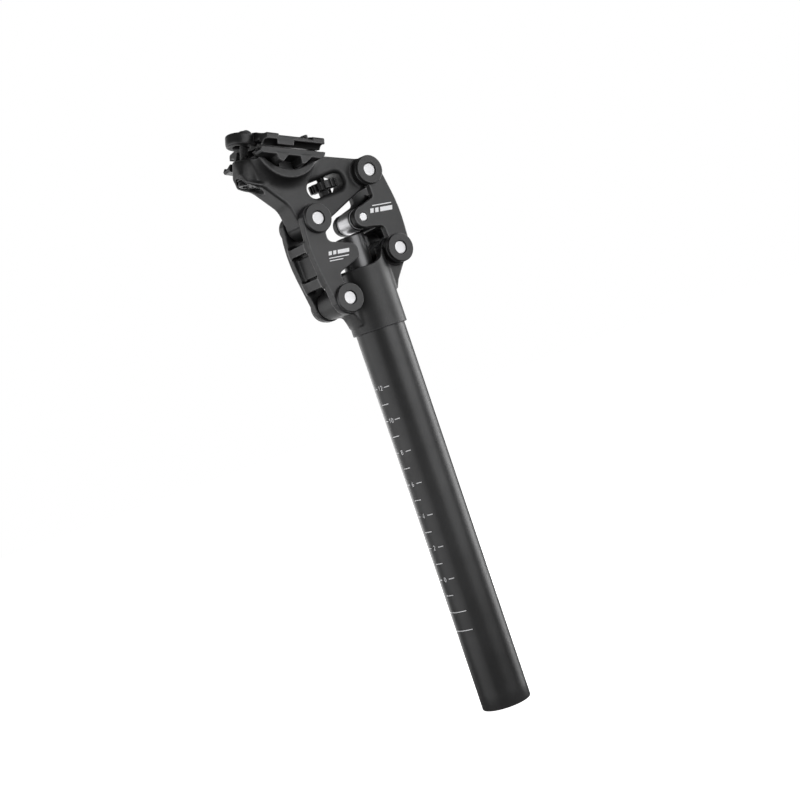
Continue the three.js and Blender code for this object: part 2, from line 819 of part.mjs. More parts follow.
// The wheel's rim is cut by evenly spaced finger notches.
function thumbWheel() {
  const notches = 12;
  const tools = [];
  for (let notch = 0; notch < notches; notch += 1) {
    const angle = (2 * Math.PI * notch) / notches;
    const tool = barZ(1.2, -10, 10, 8);
    const reach = WHEEL_RADIUS + 0.1;
    tools.push(tool.translate([reach * Math.cos(angle), reach * Math.sin(angle), 0]));
  }
  const disc = barZ(WHEEL_RADIUS, -WHEEL_HALF, WHEEL_HALF, 36);
  return onFrontBolt(cut(disc, [barZ(BOLT_RADIUS + GAP, -20, 20, 24), ...tools]));
}

// ---------------------------------------------------------------- assembly

add("seatpost_tube", tube(), BLACK_ANODISED);
add("preload_plug", preloadPlug(), BLACK_STEEL);
add("coil_spring", coilSpring(), GREY_STEEL);
add("plunger", plunger(), GREY_STEEL);
add("plunger_guide_bush", guideBush(), NYLON);
add("base_housing", baseHousing(), BLACK_FORGED);
add("front_link", frontLink(), BLACK_ANODISED);
add("rear_link", rearLink(), BLACK_ANODISED);
add("head", head(), BLACK_FORGED);

const PIVOTS = {
  front_upper: { point: FRONT_UPPER, face: FRONT_PLATE.outer },
  front_lower: { point: FRONT_LOWER, face: FRONT_PLATE.outer },
  rear_upper: { point: REAR_UPPER, face: REAR_PLATE.outer },
  rear_lower: { point: REAR_LOWER, face: REAR_PLATE.outer },
};
for (const [name, { point, face }] of Object.entries(PIVOTS)) {
  add(`${name}_axle`, axle(point, face + 1.8), POLISHED_STEEL);
  add(`${name}_cap_right`, pivotCap(point, -1, face), BLACK_ANODISED);
  add(`${name}_cap_left`, pivotCap(point, 1, face), BLACK_ANODISED);
}
add("front_upper_bush", pivotBush(FRONT_UPPER, -BARREL_HALF, BARREL_HALF), BRONZE);
add("rear_upper_bush", pivotBush(REAR_UPPER, -BARREL_HALF, BARREL_HALF), BRONZE);
add("rear_lower_bush", pivotBush(REAR_LOWER, -BARREL_HALF, BARREL_HALF), BRONZE);
add("front_lower_bush_right", pivotBush(FRONT_LOWER, -BARREL_HALF, -FORK_HALF), BRONZE);
add("front_lower_bush_left", pivotBush(FRONT_LOWER, FORK_HALF, BARREL_HALF), BRONZE);

add("roller", roller(), POLISHED_STEEL);
add("roller_sleeve", rollerSleeve(), BRONZE);
add("roller_axle", barY(ROLLER_CENTRE, ROLLER_AXLE_RADIUS, -13.4, 13.4, 24), POLISHED_STEEL);
add("roller_washer_right", rollerWasher(-1), BLACK_STEEL);
add("roller_washer_left", rollerWasher(1), BLACK_STEEL);

add("lower_cradle", lowerCradle(), BLACK_ANODISED);
add("upper_clamp", upperClamp(), BLACK_ANODISED);
add("rear_barrel_nut", barrelNut(REAR_BOLT_U, 0), BLACK_STEEL);
add("front_barrel_nut", barrelNut(frontNutPoint().u, FRONT_BOLT_TILT - CLAMP_TILT), BLACK_STEEL);
add("rear_clamp_bolt", rearBolt(), BLACK_STEEL);
add("rear_bolt_washer", rearWasher(), BLACK_STEEL);
add("front_clamp_bolt", frontBolt(), BLACK_STEEL);
add("thumb_wheel", thumbWheel(), BLACK_STEEL);

export default seatpost;
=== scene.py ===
import json
import math

import bpy
import numpy as np
from mathutils import Matrix, Vector


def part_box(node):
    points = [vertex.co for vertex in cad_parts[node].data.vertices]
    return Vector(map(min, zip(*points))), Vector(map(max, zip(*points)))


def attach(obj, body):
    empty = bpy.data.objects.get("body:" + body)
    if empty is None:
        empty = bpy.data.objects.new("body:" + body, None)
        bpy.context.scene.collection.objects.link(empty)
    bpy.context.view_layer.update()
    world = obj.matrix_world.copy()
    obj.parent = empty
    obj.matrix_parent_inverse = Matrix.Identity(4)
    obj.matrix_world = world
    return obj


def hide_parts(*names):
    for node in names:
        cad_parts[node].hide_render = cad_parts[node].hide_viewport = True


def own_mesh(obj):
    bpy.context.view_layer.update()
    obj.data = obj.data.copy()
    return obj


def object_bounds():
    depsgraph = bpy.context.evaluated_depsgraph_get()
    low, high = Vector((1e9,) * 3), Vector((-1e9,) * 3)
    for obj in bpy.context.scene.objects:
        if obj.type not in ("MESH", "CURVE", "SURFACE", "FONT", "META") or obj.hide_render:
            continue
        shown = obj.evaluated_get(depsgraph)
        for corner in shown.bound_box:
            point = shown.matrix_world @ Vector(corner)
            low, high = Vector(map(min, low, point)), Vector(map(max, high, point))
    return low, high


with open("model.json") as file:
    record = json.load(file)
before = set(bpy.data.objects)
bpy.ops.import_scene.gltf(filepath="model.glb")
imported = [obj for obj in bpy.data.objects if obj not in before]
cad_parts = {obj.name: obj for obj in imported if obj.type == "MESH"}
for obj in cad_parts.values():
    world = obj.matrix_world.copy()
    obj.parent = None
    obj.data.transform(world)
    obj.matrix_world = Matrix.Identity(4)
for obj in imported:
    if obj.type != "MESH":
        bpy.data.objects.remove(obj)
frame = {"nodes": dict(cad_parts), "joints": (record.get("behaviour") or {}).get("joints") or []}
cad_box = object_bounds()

MM = 0.001

# -------------------- places taken from the frame

joints = {joint["name"]: joint for joint in frame["joints"]}


def pivot(name):
    """The X and Z of a joint that lies on the part's middle plane."""
    x, _, z = joints[name]["pos_m"]
    return (x / MM, z / MM)


def corner(node, high):
    """One corner of a CAD node's box."""
    return [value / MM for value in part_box(node)[high]]


FRONT_LOWER = pivot("front_link_pivot")
REAR_LOWER = pivot("rear_link_pivot")
FRONT_UPPER = pivot("head_pivot")
REAR_UPPER = tuple(FRONT_UPPER[i] + REAR_LOWER[i] - FRONT_LOWER[i] for i in (0, 1))
ROLLER = pivot("roller_spin")
WHEEL = pivot("thumb_wheel_spin")
TILT_CENTRE = pivot("clamp_tilt")
FRONT_NUT = pivot("front_nut_swivel")
REAR_NUT = pivot("rear_nut_swivel")
CLAMP_UP = joints["rear_bolt_turn"]["axis"]
FRONT_BOLT_UP = joints["thumb_wheel_spin"]["axis"]
SEAT_HEIGHT = 8.0  # of the tilt centre above the clamp's origin
CLAMP_ORIGIN = (TILT_CENTRE[0] - SEAT_HEIGHT * CLAMP_UP[0], TILT_CENTRE[1] - SEAT_HEIGHT * CLAMP_UP[2])

TUBE_RADIUS = corner("seatpost_tube", 1)[0]
TUBE_TOP = corner("seatpost_tube", 1)[2]
TUBE_BORE = TUBE_RADIUS - 3.0
PLUNGER_RADIUS = 9.0
PLUNGER_TOP = corner("plunger", 1)[2]
COLLAR_RADIUS = 17.15
COLLAR_FLOOR = corner("base_housing", 0)[2]
CLAMP_HALF = corner("upper_clamp", 1)[1]
BARREL_HALF = 8.6
HEAD_HALF = 8.0
SEAT_HALF = corner("head", 1)[1]
FRONT_LINK_FACE = 13.6  # outer face of each link, out from the middle plane
REAR_LINK_FACE = 14.5
AXLE_HOLE = 4.15
BUSH_HOLE = 5.25
ROLLER_AXLE_HOLE = 2.75
REAR_BOLT_U = -20.0  # of the rear clamp bolt in the clamp's axes
BOLT_RADIUS = 2.5
BOLT_SLOT = 3.2
CRADLE_RADIUS = 23.6  # round the tilt centre
SLIDEWAY_RADIUS = 23.95
RAIL_Y, RAIL_W, CHANNEL_RADIUS = 22, -4.4, 3.52
FAR = 60.0  # beyond every part, for cutting tools

# -------------------- distance fields


def blend(a, b, k):
    """The union of two distances with a fillet of about radius k."""
    if k <= 0:
        return np.minimum(a, b)
    h = np.maximum(k - np.abs(a - b), 0) / k
    return np.minimum(a, b) - h * h * k / 4


def rounded(a, b, edge):
    """What lies in two crossing distances, with its edges rounded off."""
    a, b = a + edge, b + edge
    return np.minimum(np.maximum(a, b), 0) + np.hypot(np.maximum(a, 0), np.maximum(b, 0)) - edge


def union(*fields, k=0.0):
    def field(x, y, z):
        value = fields[0](x, y, z)
        for other in fields[1:]:
            value = blend(value, other(x, y, z), k)
        return value
    return field


def minus(base, *tools, k=0.0):
    """base with the tools cut away; k rounds the edges that the cuts leave."""
    def field(x, y, z):
        value = base(x, y, z)
        for tool in tools:
            value = -blend(-value, tool(x, y, z), k)
        return value
    return field


def both(a, b, k=0.0):
    """What lies in a and in b."""
    return lambda x, y, z: -blend(-a(x, y, z), -b(x, y, z), k)


def flat_union(*shapes, k=0.0):
    def shape(x, z):
        value = shapes[0](x, z)
        for other in shapes[1:]:
            value = blend(value, other(x, z), k)
        return value
    return shape


def disc(centre, radius):
    return lambda x, z: np.hypot(x - centre[0], z - centre[1]) - radius


def outline(corners, steps=4):
    """A closed outline from [x, z] or [x, z, radius] corners, as a flat distance field."""
    points = []
    count = len(corners)
    for i, (x, z, *rest) in enumerate(corners):
        radius = rest[0] if rest else 0
        here = np.array([x, z], float)
        if radius == 0:
            points.append(here)
            continue
        before, after = (np.array(corners[(i + s) % count][:2], float) - here for s in (-1, 1))
        before /= np.linalg.norm(before)
        after /= np.linalg.norm(after)
        half = math.acos(float(np.clip(before @ after, -1, 1))) / 2
        start = here + before * radius / math.tan(half)
        end = here + after * radius / math.tan(half)
        middle = before + after
        centre = here + middle / np.linalg.norm(middle) * radius / math.sin(half)
        for t in np.linspace(0, 1, steps + 1):
            ray = (start - centre) * (1 - t) + (end - centre) * t
            points.append(centre + ray / np.linalg.norm(ray) * radius)
    return polygon(points)


def polygon(points):
    points = [np.asarray(p, float) for p in points]

    def shape(x, z):
        x, z = np.broadcast_arrays(x, z)
        nearest = np.full(x.shape, 1e9)
        inside = np.zeros(x.shape, bool)
        for a, b in zip(points, points[1:] + points[:1]):
            ex, ez = b - a
            wx, wz = x - a[0], z - a[1]
            t = np.clip((wx * ex + wz * ez) / (ex * ex + ez * ez), 0, 1)
            nearest = np.minimum(nearest, (wx - ex * t) ** 2 + (wz - ez * t) ** 2)
            if ez != 0:
                inside ^= ((a[1] <= z) != (b[1] <= z)) & (wx < wz * ex / ez)
        return np.where(inside, -1, 1) * np.sqrt(nearest)
    return shape


def slab(shape, y0, y1, edge=0.6):
    """A flat shape between y0 and y1 on each side of Y = 0, with rounded edges."""
    centre, half = (y0 + y1) / 2, (y1 - y0) / 2

    def field(x, y, z):
        return rounded(shape(x, z), np.abs(np.abs(y) - centre) - half, edge)
    return field


def across(shape, half, edge=0.6):
    """A flat shape from -half to half along Y."""
    return slab(shape, -half, half, edge)


def rod_y(centre, radius, half, edge=0.5):
    return across(disc(centre, radius), half, edge)


def prism_z(shape, z0, z1, edge=0.2):
    """A shape drawn in x and y, drawn out along Z."""
    middle, half = (z0 + z1) / 2, (z1 - z0) / 2

    def field(x, y, z):
        return rounded(shape(x, y), np.abs(z - middle) - half, edge)
    return field


def upright(centre, radius, z0, z1, edge=0.4):
    """A round bar along Z at [x, y]."""
    return prism_z(disc(centre, radius), z0, z1, edge)


def box(x0, x1, y1, z0, z1, edge=0.4, y0=None):
    """A rounded block, on both sides of Y = 0, from y0 (or the middle) out to y1."""
    flat = outline([[x0, z0], [x1, z0], [x1, z1], [x0, z1]])
    return slab(flat, -y1 if y0 is None else y0, y1, edge)


def on_line(field, origin, up):
    """A field written round the Z axis, put on a line in the middle plane."""
    def placed(x, y, z):
        dx, dz = x - origin[0], z - origin[1]
        return field(dx * up[2] - dz * up[0], y, dx * up[0] + dz * up[2])
    return placed


def in_clamp(field):
    """A field written in the clamp's own axes (u forward, w up), put in place."""
    return on_line(field, CLAMP_ORIGIN, CLAMP_UP)


def from_clamp(u, w, *rest):
    """A point of the clamp's axes, in X and Z."""
    sine, cosine = CLAMP_UP[0], CLAMP_UP[2]
    return [CLAMP_ORIGIN[0] + u * cosine + w * sine, CLAMP_ORIGIN[1] - u * sine + w * cosine, *rest]


def surface(field, low, high, step):
    """Vertices and quads on the zero level of a field (surface nets, then pulled onto the level)."""
    low = np.asarray(low, float) - 2 * step
    counts = np.ceil((np.asarray(high, float) + 2 * step - low) / step).astype(int) + 1
    axes = [low[i] + step * np.arange(counts[i]) for i in range(3)]
    grid = field(axes[0][:, None, None], axes[1][None, :, None], axes[2][None, None, :])
    value = np.broadcast_to(grid, tuple(counts)).astype(np.float32)
    inside = value < 0
    cells = tuple(c - 1 for c in counts)

    def window(array, i, j, k):
        return array[i:i + cells[0], j:j + cells[1], k:k + cells[2]]

    corners = [(i, j, k) for i in (0, 1) for j in (0, 1) for k in (0, 1)]
    filled = sum(window(inside, *c).astype(np.int8) for c in corners)
    active = (filled > 0) & (filled < 8)
    index = np.full(cells, -1, np.int64)
    index[active] = np.arange(active.sum())
    total = np.zeros((active.sum(), 3))
    hits = np.zeros((active.sum(), 1))
    for a in corners:
        for axis in range(3):
            if a[axis]:
                continue
            b = list(a)
            b[axis] = 1
            va, vb = window(value, *a)[active], window(value, *b)[active]
            crossed = (va < 0) != (vb < 0)
            t = np.where(crossed, va / np.where(crossed, va - vb, 1), 0)
            place = np.tile(np.array(a, float), (len(va), 1))
            place[:, axis] += t
            total += place * crossed[:, None]
            hits += crossed[:, None]
    points = low + (np.argwhere(active) + total / hits) * step
    quads = []
    for axis in range(3):
        one, two = [i for i in range(3) if i != axis]
        ahead = np.roll(inside, -1, axis)
        edge = inside != ahead
        spots = np.argwhere(edge)
        keep = np.ones(len(spots), bool)
        keep &= spots[:, axis] < cells[axis]
        for other in (one, two):
            keep &= (spots[:, other] > 0) & (spots[:, other] < cells[other])
        spots = spots[keep]
        ring = []
        for da, db in ((-1, -1), (0, -1), (0, 0), (-1, 0)):
            at = spots.copy()
            at[:, one] += da
            at[:, two] += db
            ring.append(index[at[:, 0], at[:, 1], at[:, 2]])
        ring = np.stack(ring, 1)
        outward = inside[spots[:, 0], spots[:, 1], spots[:, 2]]
        flip = outward == (axis == 1)
        ring[flip] = ring[flip][:, ::-1]
        quads.append(ring)
    quads = np.concatenate(quads)
    for _ in range(3):
        here = field(*points.T)
        slope = gradient(field, points)
        length = np.maximum((slope ** 2).sum(1), 0.05)
        move = np.clip(here / length, -step / 2, step / 2)
        points = points - slope * move[:, None]
    return points, quads


def gradient(field, points, reach=0.02):
    parts = []
    for axis in range(3):
        shift = np.zeros(3)
        shift[axis] = reach
        parts.append((field(*(points + shift).T) - field(*(points - shift).T)) / (2 * reach))
    return np.stack(parts, 1)


# -------------------- pieces


def mark_edges(mesh):
    """Stores how convex the mesh is at each point, from 0 on flats to 1 on sharp outer edges; the metals use
    it to paint a highlight on these edges.
    """
    count = len(mesh.vertices)
    points, normals = np.empty(count * 3), np.empty(count * 3)
    mesh.vertices.foreach_get("co", points)
    mesh.vertex_normals.foreach_get("vector", normals)
    pairs = np.empty(len(mesh.edges) * 2, np.int64)
    mesh.edges.foreach_get("vertices", pairs)
    points, normals, pairs = points.reshape(-1, 3), normals.reshape(-1, 3), pairs.reshape(-1, 2)
    a, b = pairs[:, 0], pairs[:, 1]
    way = points[a] - points[b]
    way /= np.maximum(np.linalg.norm(way, axis=1), 1e-9)[:, None]
    joins = np.maximum(np.bincount(pairs.ravel(), minlength=count), 1)
    lift = np.bincount(a, (normals[a] * way).sum(1), count) - np.bincount(b, (normals[b] * way).sum(1), count)
    edge = np.clip((lift / joins - 0.05) / 0.14, 0, 1)
    shared = np.bincount(a, edge[b], count) + np.bincount(b, edge[a], count)
    edge = (edge + shared / joins) / 2
    mesh.attributes.new("edge", "FLOAT", "POINT").data.foreach_set("value", edge.astype(np.float32))


def piece(name, points, faces, body, nodes, material, smooth=True):
    """A mesh from millimetre points, riding on a body in place of CAD nodes."""
    mesh = bpy.data.meshes.new(name)
    points = np.asarray(points, float) * MM
    faces = [tuple(int(i) for i in face) for face in faces]
    mesh.from_pydata([tuple(p) for p in points], [], faces)
    mesh.update()
    mark_edges(mesh)
    if smooth:
        mesh.shade_smooth()
    thing = bpy.data.objects.new(name, mesh)
    bpy.context.scene.collection.objects.link(thing)
    mesh.materials.append(material)
    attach(thing, body)
    if nodes:
        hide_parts(*nodes)
    return thing


def solid(name, field, low, high, step, body, nodes, material):
    points, quads = surface(field, low, high, step)
    return piece(name, points, quads, body, nodes, material)


def near(node, margin=1.5):
    """The box of a CAD node with a margin, as the low and high corners to look between."""
    low, high = corner(node, 0), corner(node, 1)
    return [v - margin for v in low], [v + margin for v in high]


def arc(centre, radius, start, end, steps=5):
    """Points of a rounded corner in a turned profile; angles in degrees."""
    turns = np.radians(np.linspace(start, end, steps))
    return [[centre[0] + radius * math.cos(t), centre[1] + radius * math.sin(t)] for t in turns]


def turned(profile, segments=96, ripple=None):
    """Points and faces of a closed ring, or of a bar when the profile starts and ends on the axis."""
    points, faces = [], []
    on_axis = profile[0][0] == 0
    body = profile[1:-1] if on_axis else profile
    rows = len(body)
    for s in range(segments):
        turn = 2 * math.pi * s / segments
        for radius, z in body:
            r = radius + (ripple(turn, radius, z) if ripple else 0)
            points.append([r * math.cos(turn), r * math.sin(turn), z])
    for s in range(segments):
        a, b = s * rows, (s + 1) % segments * rows
        for i in range(rows - 1):
            faces.append([a + i, b + i, b + i + 1, a + i + 1])
        if not on_axis:
            faces.append([a + rows - 1, b + rows - 1, b, a])
    if on_axis:
        low, high = len(points), len(points) + 1
        points += [[0, 0, profile[0][1]], [0, 0, profile[-1][1]]]
        for s in range(segments):
            a, b = s * rows, (s + 1) % segments * rows
            faces.append([low, b, a])
            faces.append([high, a + rows - 1, b + rows - 1])
    return np.array(points), faces


def stand(points, origin, axis):
    """Turns points written round Z onto an axis through an origin."""
    turn = Vector((0, 0, 1)).rotation_difference(Vector(axis)).to_matrix()
    return np.asarray(points) @ np.array(turn).T + np.asarray(origin)


def crisp(thing, degrees=35):
    """Smooth shading that keeps the sharp edges of a turned piece sharp."""
    mesh = thing.data
    mesh.set_sharp_from_angle(angle=math.radians(degrees))
    return thing


def lathe(name, profile, segments, line, body, nodes, material, degrees=40):
    """A turned piece, put on a line given by its origin and its direction."""
    points, faces = turned(profile, segments)
    placed = stand(points, *line)
    return crisp(piece(name, placed, faces, body, nodes, material), degrees)


# -------------------- materials


class Nodes:
    """A material's node tree with short calls."""

    def __init__(self, name):
        self.material = bpy.data.materials.new(name)
        self.material.use_nodes = True
        self.tree = self.material.node_tree
        self.shader = next(n for n in self.tree.nodes if n.type == "BSDF_PRINCIPLED")

    def add(self, kind, **settings):
        node = self.tree.nodes.new(kind)
        for key, value in settings.items():
            setattr(node, key, value)
        return node

    def link(self, source, target):
        self.tree.links.new(source, target)

    def place(self, scale=(1, 1, 1)):
        spot = self.add("ShaderNodeTexCoord")
        mapping = self.add("ShaderNodeMapping")
        mapping.inputs["Scale"].default_value = scale
        self.link(spot.outputs["Object"], mapping.inputs["Vector"])
        return mapping.outputs["Vector"]

    def noise(self, scale, detail=2.0, stretch=(1, 1, 1), rough=0.5):
        node = self.add("ShaderNodeTexNoise")
        node.inputs["Scale"].default_value = scale
        node.inputs["Detail"].default_value = detail
        node.inputs["Roughness"].default_value = rough
        self.link(self.place(stretch), node.inputs["Vector"])
        return node.outputs["Fac"]

    def ramp(self, source, stops):
        node = self.add("ShaderNodeValToRGB")
        ramp = node.color_ramp
        while len(ramp.elements) < len(stops):
            ramp.elements.new(0.5)
        for element, (place, colour) in zip(ramp.elements, stops):
            element.position = place
            element.color = (*colour, 1) if len(colour) == 3 else colour
        self.link(source, node.inputs["Fac"])
        return node.outputs["Color"]

    def span(self, source, low, high, start=0.0, end=1.0):
        node = self.add("ShaderNodeMapRange")
        node.inputs["From Min"].default_value = start
        node.inputs["From Max"].default_value = end
        node.inputs["To Min"].default_value = low
        node.inputs["To Max"].default_value = high
        self.link(source, node.inputs["Value"])
        return node.outputs["Result"]

    def bump(self, source, height, strength=1.0):
        node = self.add("ShaderNodeBump")
        node.inputs["Strength"].default_value = strength
        node.inputs["Distance"].default_value = height
        self.link(source, node.inputs["Height"])
        self.link(node.outputs["Normal"], self.shader.inputs["Normal"])

    def mix(self, factor, a, b):
        node = self.add("ShaderNodeMix", data_type="RGBA")
        self.link(factor, node.inputs["Factor"])
        for source, name in ((a, "A"), (b, "B")):
            socket = [s for s in node.inputs if s.name == name and s.type == "RGBA"][0]
            if isinstance(source, tuple):
                socket.default_value = (*source, 1)
            else:
                self.link(source, socket)
        return [s for s in node.outputs if s.type == "RGBA"][0]


def grey(value):
    return (value, value, value * 1.02)


def metal(name, dark, light, rough, metallic, grain=2600.0, height=0.00003, cloud=45.0, lines=None):
    """A metal whose colour drifts a little, with a fine grain, slightly uneven gloss and a painted highlight
    on its convex edges.
    """
    n = Nodes(name)
    drift = n.noise(cloud, 3.0)
    fine = n.noise(grain, 2.0, lines or (1, 1, 1), 0.6)
    tone = n.ramp(drift, [(0.3, dark), (0.7, light)])
    # Convex edges get a colour up to four times the light tone: a painted highlight where light catches the
    # edges.
    edge_highlight_mask = n.add("ShaderNodeAttribute", attribute_name="edge").outputs["Fac"]
    edge = n.span(edge_highlight_mask, 0.0, 0.6)
    highlight_tone = tuple(min(1.0, 4.0 * v + 0.02) for v in light)
    n.link(n.mix(edge, tone, highlight_tone), n.shader.inputs["Base Color"])
    n.link(n.span(fine, rough[0], rough[1], 0.3, 0.7), n.shader.inputs["Roughness"])
    n.shader.inputs["Metallic"].default_value = metallic
    n.bump(fine, height, 0.6)
    return n.material


BLACK = metal("black_anodised", grey(0.020), grey(0.030), (0.36, 0.50), 0.55)
FORGED = metal("black_forged", grey(0.019), grey(0.029), (0.40, 0.56), 0.5, 1900.0, 0.00005)
TUBE_BLACK = metal("tube_anodised", grey(0.021), grey(0.029), (0.34, 0.46), 0.6, 2400.0, 0.00002)
PIN = metal("pin_steel", grey(0.50), grey(0.58), (0.40, 0.50), 0.5, 1500.0, 0.00001)
GROUND = metal("ground_steel", grey(0.060), grey(0.085), (0.30, 0.42), 0.9, 1200.0, 0.00001, 30.0, (1, 1, 6))
OXIDE = metal("black_oxide", grey(0.014), grey(0.024), (0.38, 0.55), 0.7, 1800.0, 0.00003)
BRONZE = metal("bronze", (0.30, 0.17, 0.07), (0.42, 0.25, 0.11), (0.35, 0.5), 0.9, 1400.0, 0.00002)
NYLON = metal("nylon", grey(0.028), grey(0.036), (0.5, 0.62), 0.0, 1500.0, 0.00002)


def white_print():
    n = Nodes("white_print")
    tone = n.ramp(n.noise(3000.0, 2.0), [(0.3, grey(0.62)), (0.7, grey(0.80))])
    n.link(tone, n.shader.inputs["Base Color"])
    n.shader.inputs["Roughness"].default_value = 0.55
    return n.material


WHITE = white_print()


def roller_steel():
    """Polished steel whose two ends are left darker, in rings round the roller's axis."""
    n = Nodes("roller_steel")
    place = n.add("ShaderNodeTexCoord")
    split = n.add("ShaderNodeSeparateXYZ")
    n.link(place.outputs["Object"], split.inputs["Vector"])
    away = n.add("ShaderNodeMath", operation="ABSOLUTE")
    n.link(split.outputs["Y"], away.inputs[0])
    end = n.span(away.outputs["Value"], 0.0, 1.0, 0.0058, 0.0062)
    fine = n.noise(1100.0, 2.0, (1, 0.15, 1))
    tone = n.ramp(fine, [(0.3, grey(0.56)), (0.7, grey(0.66))])
    n.link(n.mix(end, tone, grey(0.16)), n.shader.inputs["Base Color"])
    n.link(n.span(fine, 0.30, 0.38, 0.3, 0.7), n.shader.inputs["Roughness"])
    n.shader.inputs["Metallic"].default_value = 0.9
    n.bump(fine, 0.00001, 0.4)
    return n.material


ROLLER_STEEL = roller_steel()

# -------------------- shapes in the clamp's axes


def along_u(shape, u0, u1, edge=0.5):
    """A shape drawn in |Y| and w, drawn out along u."""
    middle, half = (u0 + u1) / 2, (u1 - u0) / 2

    def field(u, y, w):
        return rounded(shape(np.abs(y), w), np.abs(u - middle) - half, edge)
    return field


def along_w(shape, w0, w1, edge=0.6):
    """A shape drawn in u and |Y|, drawn out along w."""
    return prism_z(lambda u, y: shape(u, np.abs(y)), w0, w1, edge)


def half_plane(point, towards):
    """The flat half-plane behind a point, as seen along a direction."""
    length = math.hypot(*towards)
    return lambda x, z: ((x - point[0]) * towards[0] + (z - point[1]) * towards[1]) / length


def flat_both(a, b, k=0.0):
    return lambda x, z: -blend(-a(x, z), -b(x, z), k)


def capsule(a, b, radius):
    ex, ez = b[0] - a[0], b[1] - a[1]

    def shape(x, z):
        t = np.clip(((x - a[0]) * ex + (z - a[1]) * ez) / (ex * ex + ez * ez), 0, 1)
        return np.hypot(x - a[0] - ex * t, z - a[1] - ez * t) - radius
    return shape


def hexagon(flat_radius):
    """A hexagonal bar along Z."""
    turns = [math.radians(a) for a in (0, 60, 120)]

    def shape(x, y):
        sides = [np.abs(x * math.cos(t) + y * math.sin(t)) - flat_radius for t in turns]
        return np.maximum(np.maximum(sides[0], sides[1]), sides[2])
    return shape


def hole_y(centre, radius):
    return lambda x, y, z: np.hypot(x - centre[0], z - centre[1]) - radius + 0 * y


def ease(value, start, end):
    t = np.clip((value - start) / (end - start), 0, 1)
    return t * t * (3 - 2 * t)


# -------------------- tube, plunger and scale


UPWARD = ((0, 0, 0), (0, 0, 1))  # the tube's own line


def make_tube():
    top, bore, radius = TUBE_TOP, TUBE_BORE, TUBE_RADIUS
    profile = [[bore, 0.6], [bore + 0.6, 0], [radius - 0.6, 0], [radius - 0.18, 0.18], [radius, 0.6]]
    profile += [[radius, z] for z in np.linspace(10, top - 10, 26)]
    profile += [[radius, top - 0.4], [radius - 0.4, top], [bore + 0.4, top], [bore, top - 0.4]]
    lathe("post_tube", profile, 128, UPWARD, "post", ["seatpost_tube"], TUBE_BLACK, 25)


def make_plunger():
    shoe_floor = corner("plunger", 0)[2]
    shoe = corner("plunger", 1)[0]
    shoe_top = 211.5
    radius, top = PLUNGER_RADIUS, PLUNGER_TOP
    profile = [[0, shoe_floor], [shoe - 0.5, shoe_floor], [shoe, shoe_floor + 0.5]]
    profile += [[shoe, shoe_top - 0.5], [shoe - 0.5, shoe_top], [radius + 0.6, shoe_top]]
    profile += [[radius, shoe_top + 0.6]] + [[radius, z] for z in np.linspace(220, top - 4, 12)]
    profile += arc([radius - 0.8, top - 0.8], 0.8, 0, 90, 6) + [[radius - 2.5, top], [0, top]]
    lathe("plunger_body", profile, 96, UPWARD, "plunger_rod", ["plunger"], GROUND, 50)


def make_spring():
    """The coil spring, drawn at one fixed length."""
    low, high = corner("coil_spring", 0)[2], corner("coil_spring", 1)[2]
    wire, mean, turns = 1.75, 9.8, 12  # wire radius, mean coil radius
    sides, rings = 16, turns * 48
    points, faces = [], []
    for i in range(rings + 1):
        turn = 2 * math.pi * turns * i / rings
        height = low + wire + (high - low - 2 * wire) * i / rings
        for side in range(sides):
            around = 2 * math.pi * side / sides
            radius, rise = mean + wire * math.cos(around), wire * math.sin(around)
            points.append([radius * math.cos(turn), radius * math.sin(turn), height + rise])
    for i in range(rings):
        for side in range(sides):
            a, b = i * sides + side, i * sides + (side + 1) % sides
            faces.append([a, a + sides, b + sides, b])
    faces.append(list(range(sides)))
    faces.append(list(range(rings * sides, (rings + 1) * sides))[::-1])
    spring = crisp(piece("spring_coil", points, faces, "post", ["coil_spring"], GROUND))
    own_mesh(spring)


def ring_points(cx, cy, rx, ry, start, end, steps=14):
    turns = np.radians(np.linspace(start, end, steps))
    return [(cx + rx * math.cos(t), cy + ry * math.sin(t)) for t in turns]


# Strokes of the plain figures on the scale, in a box 1 wide and 1.6 high.
FIGURES = {
    "0": [ring_points(0.5, 0.8, 0.42, 0.74, 0, 360, 25)],
    "1": [[(0.22, 1.24), (0.56, 1.54), (0.56, 0.06)]],
    "2": [ring_points(0.5, 1.14, 0.4, 0.4, 165, -35, 12) + [(0.1, 0.06), (0.92, 0.06)]],
    "4": [[(0.72, 0.06), (0.72, 1.54), (0.08, 0.46), (0.98, 0.46)]],
    "6": [ring_points(0.5, 0.46, 0.4, 0.4, 0, 360, 21), ring_points(0.98, 0.6, 0.88, 0.94, 108, 180, 9)],
    "8": [ring_points(0.5, 1.17, 0.34, 0.34, 0, 360, 19), ring_points(0.5, 0.44, 0.41, 0.39, 0, 360, 21)],
}


def ribbon(line, width):
    """The two sides of a stroke drawn along a line of points."""
    line = np.array(line, float)
    closed = np.allclose(line[0], line[-1])
    if closed:
        line = line[:-1]
    sides = []
    count = len(line)
    for i, here in enumerate(line):
        before = line[i - 1] if (closed or i > 0) else here
        after = line[(i + 1) % count] if (closed or i < count - 1) else here
        way_in = here - before if (closed or i > 0) else after - here
        way_out = after - here if (closed or i < count - 1) else way_in
        way_in, way_out = way_in / np.linalg.norm(way_in), way_out / np.linalg.norm(way_out)
        across_line = np.array([-(way_in + way_out)[1], (way_in + way_out)[0]])
        across_line /= np.linalg.norm(across_line)
        lean = max(0.45, abs(across_line @ np.array([-way_in[1], way_in[0]])))
        sides.append((here + across_line * width / 2 / lean, here - across_line * width / 2 / lean))
    return sides, closed


